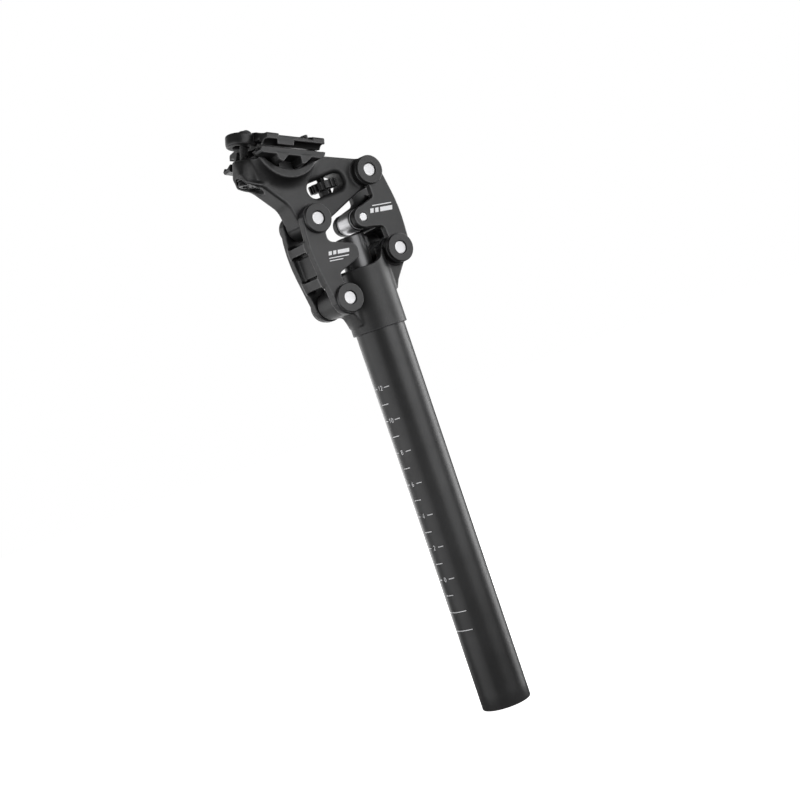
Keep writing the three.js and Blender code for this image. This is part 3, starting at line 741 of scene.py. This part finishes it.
def printed(strokes, wrap, low, high):
    """Thin closed solids of print. wrap turns a stroke's (s, z) and a height off the surface into a point."""
    points, faces = [], []
    for line, width in strokes:
        sides, closed = ribbon(line, width)
        first = len(points)
        for left, right in sides:
            for s, z, height in ((*left, low), (*right, low), (*right, high), (*left, high)):
                points.append(wrap(s, z, height))
        count = len(sides)
        for i in range(count if closed else count - 1):
            a, b = first + 4 * i, first + 4 * ((i + 1) % count)
            for j in range(4):
                k = (j + 1) % 4
                faces.append([a + j, b + j, b + k, a + k])
        if not closed:
            last = first + 4 * (count - 1)
            faces.append([first, first + 1, first + 2, first + 3])
            faces.append([last + 3, last + 2, last + 1, last])
    return np.array(points), faces


def straight(s0, s1, z, steps=8):
    return [(s, z) for s in np.linspace(s0, s1, steps)]


SCALE_TOP = 207.8  # height of the scale's highest figure
SCALE_STEP = 20.43


def make_scale():
    stroke, line_width, centre = 0.4, 0.5, 2.25
    strokes = []
    for row, label in enumerate(("12", "10", "8", "6", "4", "2", "0")):
        z = SCALE_TOP - SCALE_STEP * row
        width, height = 1.6, 2.9
        pitch = width * 1.3
        start = centre - pitch * (len(label) - 1) / 2 - width / 2
        for place, figure in enumerate(label):
            for line in FIGURES[figure]:
                shifted = [(start + place * pitch + x * width, z + (y / 1.6 - 0.5) * height) for x, y in line]
                strokes.append((shifted, stroke))
        for start, end in ((3.2, 6.9), (-6.9, -3.2)):
            strokes.append((straight(centre + start, centre + end, z), line_width))
        strokes.append((straight(centre - 4.1, centre + 2.3, z - SCALE_STEP / 2), line_width))
    for z in (64.1, 52.2):
        strokes.append((straight(-6.5, 9.8, z, 16), line_width))

    def wrap(s, z, height):
        radius = TUBE_RADIUS + height
        turn = math.pi + s / TUBE_RADIUS
        return [radius * math.cos(turn), radius * math.sin(turn), z]

    points, faces = printed(strokes, wrap, -0.05, 0.02)
    piece("scale_print", points, faces, "post", [], WHITE, smooth=False)


# -------------------- base housing


def base_field():
    rim = outline([
        [-20, 230], [-20, 280.5], [0, 280.7, 8], [6.4, 282.8, 6], [10.8, 287.4, 1.6],
        [13.6, 288.6, 0.8], [14.4, 280.5], [20, 280.5], [20, 230],
    ])
    front_lug = outline([
        [6, 262], [17.6, 262.6], [20.2, 267.5, 6], [29.6, 278.6], [*FRONT_LOWER], [16, 291], [6, 288],
    ])
    rear_lug = outline([
        [-8, 280.3], [-18.5, 279.6, 3], [-27, 273], [*REAR_LOWER], [-23, 256.4], [-19, 255.4, 3],
        [-16.2, 248], [-8, 248],
    ])
    collar = both(upright((0, 0), COLLAR_RADIUS, COLLAR_FLOOR, 300, 0.35), across(rim, FAR, 0.1), 0.8)
    lugs = union(
        union(across(front_lug, 7.4, 1.0), rod_y(FRONT_LOWER, 9.3, BARREL_HALF, 0.5), k=1.0),
        union(across(rear_lug, 7.6, 1.0), rod_y(REAR_LOWER, 8.8, BARREL_HALF, 0.5), k=1.0),
    )
    pocket = BARREL_HALF + 0.1

    def pockets(x, y, z):
        front = np.hypot(x - FRONT_LOWER[0], z - FRONT_LOWER[1]) - 10.4
        rear = np.hypot(x - REAR_LOWER[0], z - REAR_LOWER[1]) - 10.4
        return np.maximum(np.minimum(front, rear), pocket - np.abs(y))

    fork = box(0, FAR, 4.6, 277, 300, 0.6)
    return minus(
        minus(union(collar, lugs, k=2.4), pockets, fork, k=0.7),
        upright((0, 0), TUBE_RADIUS + 0.25, 200, TUBE_TOP + 0.25, 0.0),
        upright((0, 0), TUBE_BORE, 200, 310, 0.0),
        hole_y(FRONT_LOWER, BUSH_HOLE), hole_y(REAR_LOWER, BUSH_HOLE), k=0.5,
    )


def make_base():
    low, high = near("base_housing")
    solid("base_body", base_field(), low, high, 0.45, "post", ["base_housing"], FORGED)


# -------------------- links


def front_link_field():
    side = outline([
        [*FRONT_UPPER], [16.9, 328], [17.2, 319.6, 2.6], [4, 315.4], [*ROLLER], [5.2, 302.9],
        [17.9, 300.9, 3.2], [18.4, 292], [*FRONT_LOWER], [31.9, 285.5], [33.6, 309, 90], [28.4, 336],
    ])
    web = outline([
        [27.2, 323.5], [31.2, 321.9], [32.9, 309, 60], [32.3, 296.6], [27.8, 295.6],
        [24.6, 300.4, 1.5], [14.6, 301.2], [15.2, 304.8], [25.2, 304.8, 3], [28.6, 311],
    ])
    plan = flat_union(side, disc(FRONT_UPPER, 9), disc(FRONT_LOWER, 9), disc(ROLLER, 6.4), k=1.2)
    cheeks = slab(plan, 9, FRONT_LINK_FACE, 0.65)
    body = union(cheeks, across(web, 9.4, 0.5), k=1.6)
    return minus(
        body, hole_y(FRONT_UPPER, AXLE_HOLE), hole_y(FRONT_LOWER, AXLE_HOLE),
        hole_y(ROLLER, ROLLER_AXLE_HOLE), k=0.35,
    )


def rear_link_field():
    side = outline([
        [*REAR_UPPER], [-36.2, 318.5], [-39.3, 301, 90], [-33, 264], [*REAR_LOWER],
        [-22.6, 273], [-23.2, 280.9, 2.4], [-6.2, 286.9, 3], [-5.2, 295.2, 4.2],
        [-24.2, 300.8, 3.6], [-23.4, 309],
    ])
    upper_rung = flat_both(side, outline([[-45, 303.7], [-33, 303.7], [-32.4, 298.6], [-45, 298.6]]))
    lower_rung = flat_both(side, outline([[-45, 282], [-32.4, 282], [-31, 276.2], [-45, 276.2]]))
    floor = outline([[-34.2, 296.3], [-32, 296.3], [-31.8, 283.6], [-34, 283.6]])
    plan = flat_union(side, disc(REAR_UPPER, 9.5), disc(REAR_LOWER, 9.5), k=1.2)
    rungs = union(across(upper_rung, 10.2, 0.7), across(lower_rung, 10.2, 0.7))
    body = union(slab(plan, 9.5, REAR_LINK_FACE, 0.7), rungs, k=2.6)
    body = union(body, across(floor, 10.2, 0.4), k=2.0)
    return minus(body, hole_y(REAR_UPPER, AXLE_HOLE), hole_y(REAR_LOWER, AXLE_HOLE), k=0.35)


def make_links():
    for name, field, body in (
        ("front_link", front_link_field(), "front_arm"), ("rear_link", rear_link_field(), "rear_arm"),
    ):
        low, high = near(name)
        solid(f"{name}_body", field, low, high, 0.45, body, [name], BLACK)


SIDES = ((-1, "right"), (1, "left"))


def printed_stripes(name, stripes, face, body):
    """Plain slanted stripes printed on both outer faces of a link: each is (x, z, length, height)."""
    slant, fall = 0.35, 0.08
    for side, suffix in SIDES:
        points, faces = [], []
        for x, z, length, height in stripes:
            first = len(points)
            for out in (face - 0.05, face + 0.02):
                for along, up in ((0, 0), (length, 0), (length, height), (0, height)):
                    points.append([x + along + slant * up, side * out, z + up - fall * along])
            quads = ((0, 1, 2, 3), (7, 6, 5, 4), (0, 4, 5, 1), (1, 5, 6, 2), (2, 6, 7, 3), (3, 7, 4, 0))
            for quad in quads:
                turn = [first + i for i in quad]
                faces.append(turn[::-1] if side < 0 else turn)
        piece(f"{name}_{suffix}", points, faces, body, [], WHITE, smooth=False)


# -------------------- pivot fittings and roller


def pin_profile(half, radii, bevels, rows):
    """A plain pin from -half to half: flat ends, whose outer two radii are bevelled."""
    end = [[r, drop - half] for r, drop in zip(radii, (0, 0, 0, 0, *bevels))]
    shank = [[radii[-1], z] for z in np.linspace(2 - half, half - 2, rows)]
    return end + shank + [[r, -z] for r, z in end[::-1]]


def make_caps():
    fittings = {
        "front_upper": (FRONT_UPPER, FRONT_LINK_FACE, "front_arm"),
        "front_lower": (FRONT_LOWER, FRONT_LINK_FACE, "front_arm"),
        "rear_upper": (REAR_UPPER, REAR_LINK_FACE, "rear_arm"),
        "rear_lower": (REAR_LOWER, REAR_LINK_FACE, "rear_arm"),
    }
    hole, radius = AXLE_HOLE, 8.85
    for name, (centre, face, body) in fittings.items():
        near_face, far_face = face + 0.25, face + 2.8
        profile = [[hole, near_face + 0.2], [hole + 0.2, near_face], [radius - 0.3, near_face]]
        profile += [[radius, near_face + 0.3], [radius, far_face - 0.75]]
        profile += arc([radius - 0.55, far_face - 0.55], 0.55, 0, 90, 7)
        profile += [[radius - 0.7, far_face], [radius - 1.6, far_face], [hole + 1.2, far_face]]
        profile += [[hole + 0.4, far_face]] + arc([hole + 0.3, far_face - 0.3], 0.3, 90, 180, 4)
        for side, label in SIDES:
            lathe(
                f"{name}_cap_{label}_face", profile, 96, ((centre[0], 0, centre[1]), (0, side, 0)), body,
                [f"{name}_cap_{label}"], BLACK,
            )
        pin = pin_profile(face + 1.8, (0, 1.8, 3.3, 3.45, 3.75, 3.9), (0.12, 0.45), 8)
        lathe(
            f"{name}_pin", pin, 72, ((centre[0], 0, centre[1]), (0, 1, 0)), body,
            [f"{name}_axle"], PIN,
        )


def make_roller():
    half, radius, bore = 7.6, 6.8, 4.2
    right = [[bore, half - 1.4], [5.2, half - 1.4], [5.4, half - 1.2], [5.4, half - 0.2], [5.6, half]]
    right += [[radius - 0.5, half], [radius - 0.15, half - 0.15], [radius, half - 0.5]]
    right += [[radius, 6.2], [radius - 0.12, 6.1], [radius - 0.12, 5.95], [radius, 5.85]]
    right += [[radius, 3], [radius, 0]]
    profile = right + [[r, -z] for r, z in right[-2::-1]]
    middle = (ROLLER[0], 0, ROLLER[1])
    lathe(
        "roller_ring", profile[::-1], 96, (middle, (0, 1, 0)), "link_roller",
        ["roller"], ROLLER_STEEL, 30,
    )
    pin = pin_profile(13.4, (0, 1.2, 2.1, 2.2, 2.42, 2.5), (0.1, 0.35), 6)
    lathe("roller_pin", pin, 64, (middle, (0, 1, 0)), "front_arm", ["roller_axle"], PIN)
    hole = ROLLER_AXLE_HOLE
    washer = [[hole, 7.9], [4.2, 7.9], [4.4, 8.1], [4.4, 8.6], [4.2, 8.8], [hole, 8.8]]
    for side, label in SIDES:
        lathe(
            f"roller_spacer_{label}", washer, 64, (middle, (0, side, 0)), "front_arm",
            [f"roller_washer_{label}"], OXIDE,
        )


# -------------------- head


def head_field():
    underside = [from_clamp(-25.6, -19, 2.5), from_clamp(-22.2, -23.6, 3), from_clamp(-12.3, -25.8, 14)]
    underside += [[-38.2, 328, 12]]
    side = outline([
        [20, 344.6], from_clamp(25, -2.8, 4), from_clamp(19, -10), from_clamp(-14, -10),
        from_clamp(-20, -9.5), from_clamp(-25, -12), *underside, [-35.6, 314.6], [*REAR_UPPER],
        [-24.2, 309.4], [22, 329.4], [*FRONT_UPPER],
    ])
    sine, cosine = CLAMP_UP[0], CLAMP_UP[2]
    edge = 1.5

    def trunk(x, y, z):
        dx, dz = x - CLAMP_ORIGIN[0], z - CLAMP_ORIGIN[1]
        u, w = dx * cosine - dz * sine, dx * sine + dz * cosine
        half = HEAD_HALF - 2.2 * ease(u, -7, -17) * ease(w, -24.5, -21)
        return rounded(side(x, z), np.abs(y) - half, edge)

    under_seat = half_plane((0, -10.2), (0, 1))
    seat = across(flat_both(disc((0, 0), 21.2), under_seat), SEAT_HALF, 0.5)
    post = upright((REAR_BOLT_U, 0), 7.2, -40, -9.4, 0.7)
    eyes = union(rod_y(FRONT_UPPER, 9, BARREL_HALF, 0.7), rod_y(REAR_UPPER, 8.7, BARREL_HALF, 0.7))
    body = union(trunk, in_clamp(seat), k=8.0)
    foot = across(outline([from_clamp(-30, 0), *underside, [-30, 330], from_clamp(0, 0)]), FAR, 0.0)
    body = union(body, both(in_clamp(post), foot, 0.7), k=1.6)
    body = union(body, eyes, k=1.2)
    mid_x, mid_z, reach, lean = -8.5, 334.2, 7.9, 0.1
    way = (math.cos(lean) * reach, math.sin(lean) * reach)
    window = capsule((mid_x - way[0], mid_z - way[1]), (mid_x + way[0], mid_z + way[1]), 5.5)
    body = minus(body, across(window, FAR, 0), k=2.8)
    slideway = in_clamp(hole_y((0, SEAT_HEIGHT), SLIDEWAY_RADIUS))
    counterbore = upright((REAR_BOLT_U, 0), 5.2, -FAR, -19.5, 0.0)
    rear_hole = union(counterbore, upright((REAR_BOLT_U, 0), BOLT_SLOT, -FAR, 20, 0.0))
    key_groove = prism_z(capsule((REAR_BOLT_U, 0), (-12.8, 0), 4.2), -FAR, -24.2, 0.0)
    rear_hole = union(rear_hole, key_groove)
    front_hole = on_line(upright((0, 0), 3.8, 0, 30, 0.0), WHEEL, FRONT_BOLT_UP)
    return minus(
        body, slideway, in_clamp(rear_hole), front_hole,
        hole_y(FRONT_UPPER, BUSH_HOLE), hole_y(REAR_UPPER, BUSH_HOLE), k=0.5,
    )


def make_head():
    low, high = near("head")
    solid("head_body", head_field(), low, high, 0.5, "saddle_head", ["head"], FORGED)


# -------------------- saddle clamp


def channels(u, y, w):
    """The two round grooves that the saddle's rails lie in."""
    return np.hypot(np.abs(y) - RAIL_Y, w - RAIL_W) - CHANNEL_RADIUS + 0 * u


def cradle_field():
    bar = outline([
        [-20.7, -5.5], [-22, -8.9, 0.6], [-21, -10.1], [-16, -10.3], [17.7, -10.3],
        [20.5, -8.3, 0.8], [21.3, -5.5],
    ])
    legs = [
        outline([[rear, -9.3], [foot - 0.8, -14.6, 0.4], [foot + 0.8, -14.6, 0.4], [front, -9.3]])
        for rear, front, foot in ((-12, -3, -8.4), (3.8, 12.6, 6))
    ]
    middle = union(
        box(-15.5, 18.5, 9.5, -20, -5.6, 0.3), box(-4, 12.5, 13, -20, -5.6, 0.3), slab(bar, 9, 17.6, 0.3),
        slab(legs[0], 14, CLAMP_HALF, 0.3), slab(legs[1], 14, CLAMP_HALF, 0.3),
    )
    slider = both(middle, hole_y((0, SEAT_HEIGHT), CRADLE_RADIUS), 0.4)
    body = union(slider, slab(bar, 17.2, CLAMP_HALF, 0.3), k=0.6)
    return in_clamp(minus(body, channels, k=0.25))


def clamp_field():
    section = outline([
        [-30, -3.2], [17.4, -3.2], [CLAMP_HALF, -3.2], [CLAMP_HALF, 2.4, 1.2],
        [18, 3.2], [11, 6.2], [5, 7.6], [-30, 7.6],
    ])
    under = outline([[-30, -9], [17.4, -9], [17.4, -3.2], [15.6, 1.2], [-30, 1.2]])
    bridge = minus(along_u(section, -17.2, 20.9, 0.35), along_u(under, -FAR, FAR, 0.0), k=0.8)
    rear_u, front_u = REAR_BOLT_U - 1.6, nut_place(FRONT_NUT)

    def lobe(centre, radius, reach):
        waist = [(centre + reach) / 2, 0.62 * radius]
        arm = outline([[centre, -1], [reach, -1], [reach, 11.5], waist, [centre, 0.7 * radius]])
        return flat_union(arm, disc((centre, 0), radius), k=1.6)

    rear_lobe = along_w(lobe(rear_u, 9, -12), 0.6, 6.4, 0.9)
    rear_foot = upright((rear_u, 0), 9, -0.5, 6.2, 0.9)
    front_lobe = along_w(lobe(front_u, 7, 14), 2.4, 7.8, 0.9)
    body = union(bridge, rear_lobe, rear_foot, front_lobe, k=0.9)
    strip = box(-9.3, 13, FAR, 0.6, 12, 0.4, 19)
    windows = union(
        box(-FAR, -10.6, FAR, -9, -1.3, 0.3, 21.8), box(0.2, FAR, FAR, -9, -1.3, 0.3, 21.8),
    )
    nut_w, bed, bed_half = 5, 4.25, 5.75
    slots, beds = [], []
    for centre, back, tilt in ((REAR_BOLT_U, 3.4, 0.0), (front_u, 0.9, FRONT_BOLT_LEAN)):
        oval = capsule((-back, 0), (0.9, 0), BOLT_SLOT)
        slots.append(lambda u, y, w, c=centre, t=tilt, o=oval: o(u - c - (w - nut_w) * t, y) + 0 * w)
        open_top = box(centre - bed, centre + bed, bed_half, nut_w, 30, 0.0)
        beds.append(union(rod_y((centre, nut_w), bed, bed_half, 0.0), open_top))
    body = minus(body, channels, strip, windows, *slots, *beds, k=0.35)
    post = box(-10.6, 0.2, CLAMP_HALF, -4.3, -1.5, 0.15, CLAMP_HALF - 0.6)
    return in_clamp(union(body, post, k=0.2))


def nut_place(point):
    """A nut's u in the clamp's axes."""
    return (point[0] - CLAMP_ORIGIN[0]) * CLAMP_UP[2] - (point[1] - CLAMP_ORIGIN[1]) * CLAMP_UP[0]


FRONT_BOLT_LEAN = math.tan(
    math.atan2(FRONT_BOLT_UP[0], FRONT_BOLT_UP[2]) - math.atan2(CLAMP_UP[0], CLAMP_UP[2])
)


def make_clamp():
    for node, name, field in (
        ("lower_cradle", "cradle_body", cradle_field()), ("upper_clamp", "clamp_body", clamp_field()),
    ):
        low, high = near(node)
        solid(name, field, low, high, 0.42, "rail_clamp", [node], BLACK)


# -------------------- bolts


def threaded(radius, low, high, thread_low, thread_high, pitch=0.9, depth=0.28):
    """A shank along Z whose thread runs between two heights."""
    rows = [[0, low], [radius - 0.3, low], [radius, low + 0.3]]
    count = int((thread_high - thread_low) / pitch * 8)
    rows += [[radius, z] for z in np.linspace(thread_low, thread_high, count)]
    rows += [[radius - 0.1, high - 0.3], [radius - 0.5, high], [0, high]]

    def groove(turn, r, z):
        if not thread_low <= z <= thread_high:
            return 0.0
        fade = min(1.0, (z - thread_low) / pitch, (thread_high - z) / pitch)
        wave = abs(((z / pitch - turn / (2 * math.pi)) % 1.0) * 2 - 1)
        return -depth * fade * wave
    return turned(rows, 40, groove)


def screw(name, shank, head, head_box, line, body, node):
    """A threaded shank and its head as one piece, put on a line."""
    points, faces = shank
    head_points, head_faces = surface(head, *head_box, 0.25)
    joined_faces = [*faces, *(head_faces + len(points))]
    placed = stand(np.concatenate([points, head_points]), *line)
    crisp(piece(name, placed, joined_faces, body, [node], OXIDE))


def make_bolts():
    origin = from_clamp(REAR_BOLT_U, 0)
    rear_line = ((origin[0], 0, origin[1]), CLAMP_UP)
    socket = prism_z(hexagon(2.0), -28, -22.4, 0.0)
    screw(
        "rear_bolt_screw", threaded(BOLT_RADIUS, -22.0, 9.4, -18.5, 9.0),
        minus(upright((0, 0), 4.25, -24.2, -21.3, 0.4), socket, k=0.2),
        ([-5, -5, -27], [5, 5, -20.5]), rear_line, "rear_bolt", "rear_clamp_bolt",
    )
    washer = [[2.75, -20.9], [2.85, -21], [4.6, -21], [4.8, -20.8], [4.8, -20], [4.6, -19.8], [2.75, -19.8]]
    lathe(
        "rear_bolt_seat", washer, 64, rear_line, "rear_seat", ["rear_bolt_washer"], OXIDE, 35,
    )
    screw(
        "front_bolt_screw", threaded(BOLT_RADIUS, -4.0, 32.6, -2.6, 32.2),
        prism_z(hexagon(3.46), -5.8, -2.8, 0.3),
        ([-5, -5, -6.5], [5, 5, -2]), ((WHEEL[0], 0, WHEEL[1]), FRONT_BOLT_UP),
        "front_bolt", "front_clamp_bolt",
    )


def make_nuts():
    nuts = (
        ("rear_barrel_nut", "rear_nut", REAR_NUT, CLAMP_UP),
        ("front_barrel_nut", "front_nut", FRONT_NUT, FRONT_BOLT_UP),
    )
    for node, body, centre, up in nuts:
        bar = minus(rod_y(centre, 4, 5.5, 0.5), on_line(upright((0, 0), 3.05, -9, 9, 0.0), centre, up), k=0.3)
        low, high = near(node, 0.8)
        solid(f"{node}_body", bar, low, high, 0.3, body, [node], OXIDE)


def make_wheel():
    radius, half, notches = 8.8, 2.5, 12

    def notch(x, y, z):
        turn = np.arctan2(y, x)
        step = 2 * math.pi / notches
        nearest = (turn + step / 2) % step - step / 2
        far = np.hypot(x, y)
        along, side = far * np.cos(nearest), far * np.sin(nearest)
        return np.maximum(np.abs(side) - 1.0, radius - 1.3 - along) + 0 * z

    disc_body = upright((0, 0), radius, -half, half, 0.45)
    field = minus(minus(disc_body, notch, k=0.4), upright((0, 0), 2.75, -9, 9, 0.0), k=0.3)
    points, faces = surface(field, [-9, -9, -2.8], [9, 9, 2.8], 0.3)
    placed = stand(points, (WHEEL[0], 0, WHEEL[1]), FRONT_BOLT_UP)
    piece("adjuster_wheel", placed, faces, "adjuster", ["thumb_wheel"], OXIDE)


# -------------------- everything

make_tube()
make_plunger()
make_spring()
make_scale()
make_base()
make_links()
make_caps()
make_roller()
make_head()
make_clamp()
make_bolts()
make_nuts()
make_wheel()
printed_stripes("rear_link_stripes", (
    (-27.2, 292.6, 2.2, 2.2), (-24.0, 292.4, 2.2, 2.2), (-20.8, 292.1, 8.2, 2.2),
    (-27.6, 290.6, 14.0, 0.5), (-27.8, 289.0, 9.5, 0.5),
), REAR_LINK_FACE, "rear_arm")
printed_stripes("front_link_stripes", (
    (11.3, 310.2, 2.4, 2.6), (14.9, 309.9, 2.4, 2.6), (18.5, 309.6, 9.0, 2.6), (14.2, 314.0, 14.0, 0.55),
), FRONT_LINK_FACE, "front_arm")

HIDDEN = {
    "preload_plug": OXIDE, "plunger_guide_bush": NYLON, "roller_sleeve": BRONZE,
    "front_upper_bush": BRONZE, "rear_upper_bush": BRONZE, "rear_lower_bush": BRONZE,
    "front_lower_bush_right": BRONZE, "front_lower_bush_left": BRONZE,
}
for node, material in HIDDEN.items():
    mesh = frame["nodes"][node].data
    mesh.materials.clear()
    mesh.materials.append(material)

# -------------------- camera, floor and light


def camera_at(bearing, distance, height, turn, pitch, roll, lens):
    """A camera that looks at the post's axis; angles in degrees, lengths in millimetres."""
    phi, aim, down, lean = (math.radians(v) for v in (bearing, bearing - turn, pitch, roll))
    forward = Vector((math.sin(aim) * math.cos(down), math.cos(aim) * math.cos(down), -math.sin(down)))
    right = forward.cross(Vector((0, 0, 1))).normalized()
    up = right.cross(forward)
    x_axis = math.cos(lean) * right - math.sin(lean) * up
    y_axis = math.sin(lean) * right + math.cos(lean) * up
    turned_axes = Matrix((x_axis, y_axis, -forward)).transposed()
    camera = bpy.data.objects.new("camera", bpy.data.cameras.new("camera"))
    bpy.context.scene.collection.objects.link(camera)
    camera.data.lens = lens
    camera.data.clip_start = 0.05
    place = Vector((-distance * math.sin(phi), -distance * math.cos(phi), height)) * MM
    camera.matrix_world = Matrix.Translation(place) @ turned_axes.to_4x4()
    bpy.context.scene.camera = camera


camera_at(33.0, 976.8, 229.6, 0.148, 1.906, 18.74, 72.0)


def floor_plane(half):
    mesh = bpy.data.meshes.new("floor")
    z = cad_box[0][2] - 0.0002
    corners = [(-half, -half, z), (half, -half, z), (half, half, z), (-half, half, z)]
    mesh.from_pydata(corners, [], [(0, 1, 2, 3)])
    plane = bpy.data.objects.new("floor", mesh)
    bpy.context.scene.collection.objects.link(plane)
    n = Nodes("floor")
    n.shader.inputs["Roughness"].default_value = 0.9
    n.shader.inputs["Specular IOR Level"].default_value = 0.2
    tone = n.ramp(n.noise(30.0), [(0.3, (0.90, 0.90, 0.90)), (0.7, (0.92, 0.92, 0.92))])
    n.link(tone, n.shader.inputs["Base Color"])
    n.shader.inputs["Emission Color"].default_value = (1.0, 1.0, 1.0, 1.0)
    n.shader.inputs["Emission Strength"].default_value = 1.0
    mesh.materials.append(n.material)
    plane.visible_diffuse = False
    plane.visible_glossy = False


floor_plane(4.0)


MIDDLE = Vector((0.0, 0.0, 0.30))


def area_light(name, place, size, power):
    """A rectangular lamp, in metres and watts, that faces the middle of the part."""
    light = bpy.data.lights.new(name, "AREA")
    light.shape = "RECTANGLE"
    light.size, light.size_y = size
    light.energy = power
    thing = bpy.data.objects.new(name, light)
    thing.location = place
    thing.rotation_euler = (MIDDLE - Vector(place)).to_track_quat("-Z", "Y").to_euler()
    thing.visible_camera = False
    bpy.context.scene.collection.objects.link(thing)


area_light("right_panel", (1.09, -0.15, 0.40), (0.7, 1.3), 18.0)
area_light("left_panel", (-1.20, 0.10, 0.20), (1.4, 1.0), 10.0)
area_light("front_panel", (0.26, -1.25, 0.36), (1.2, 0.9), 14.5)
area_light("back_panel", (-0.55, 1.20, 0.40), (2.0, 1.0), 8.0)
area_light("low_back_panel", (0.10, 0.60, 0.08), (0.5, 0.3), 1.2)
area_light("low_front_panel", (-0.50, -0.60, 0.04), (0.5, 0.3), 0.6)

world = bpy.data.worlds.new("studio")
world.use_nodes = True
background = next(n for n in world.node_tree.nodes if n.type == "BACKGROUND")
background.inputs["Color"].default_value = (1.0, 1.0, 1.0, 1.0)
rays = world.node_tree.nodes.new("ShaderNodeLightPath")
strength = world.node_tree.nodes.new("ShaderNodeMapRange")
strength.inputs["To Min"].default_value = 0.075
strength.inputs["To Max"].default_value = 1.0
world.node_tree.links.new(rays.outputs["Is Camera Ray"], strength.inputs["Value"])
world.node_tree.links.new(strength.outputs["Result"], background.inputs["Strength"])
bpy.context.scene.world = world
bpy.context.scene.view_settings.view_transform = "Standard"
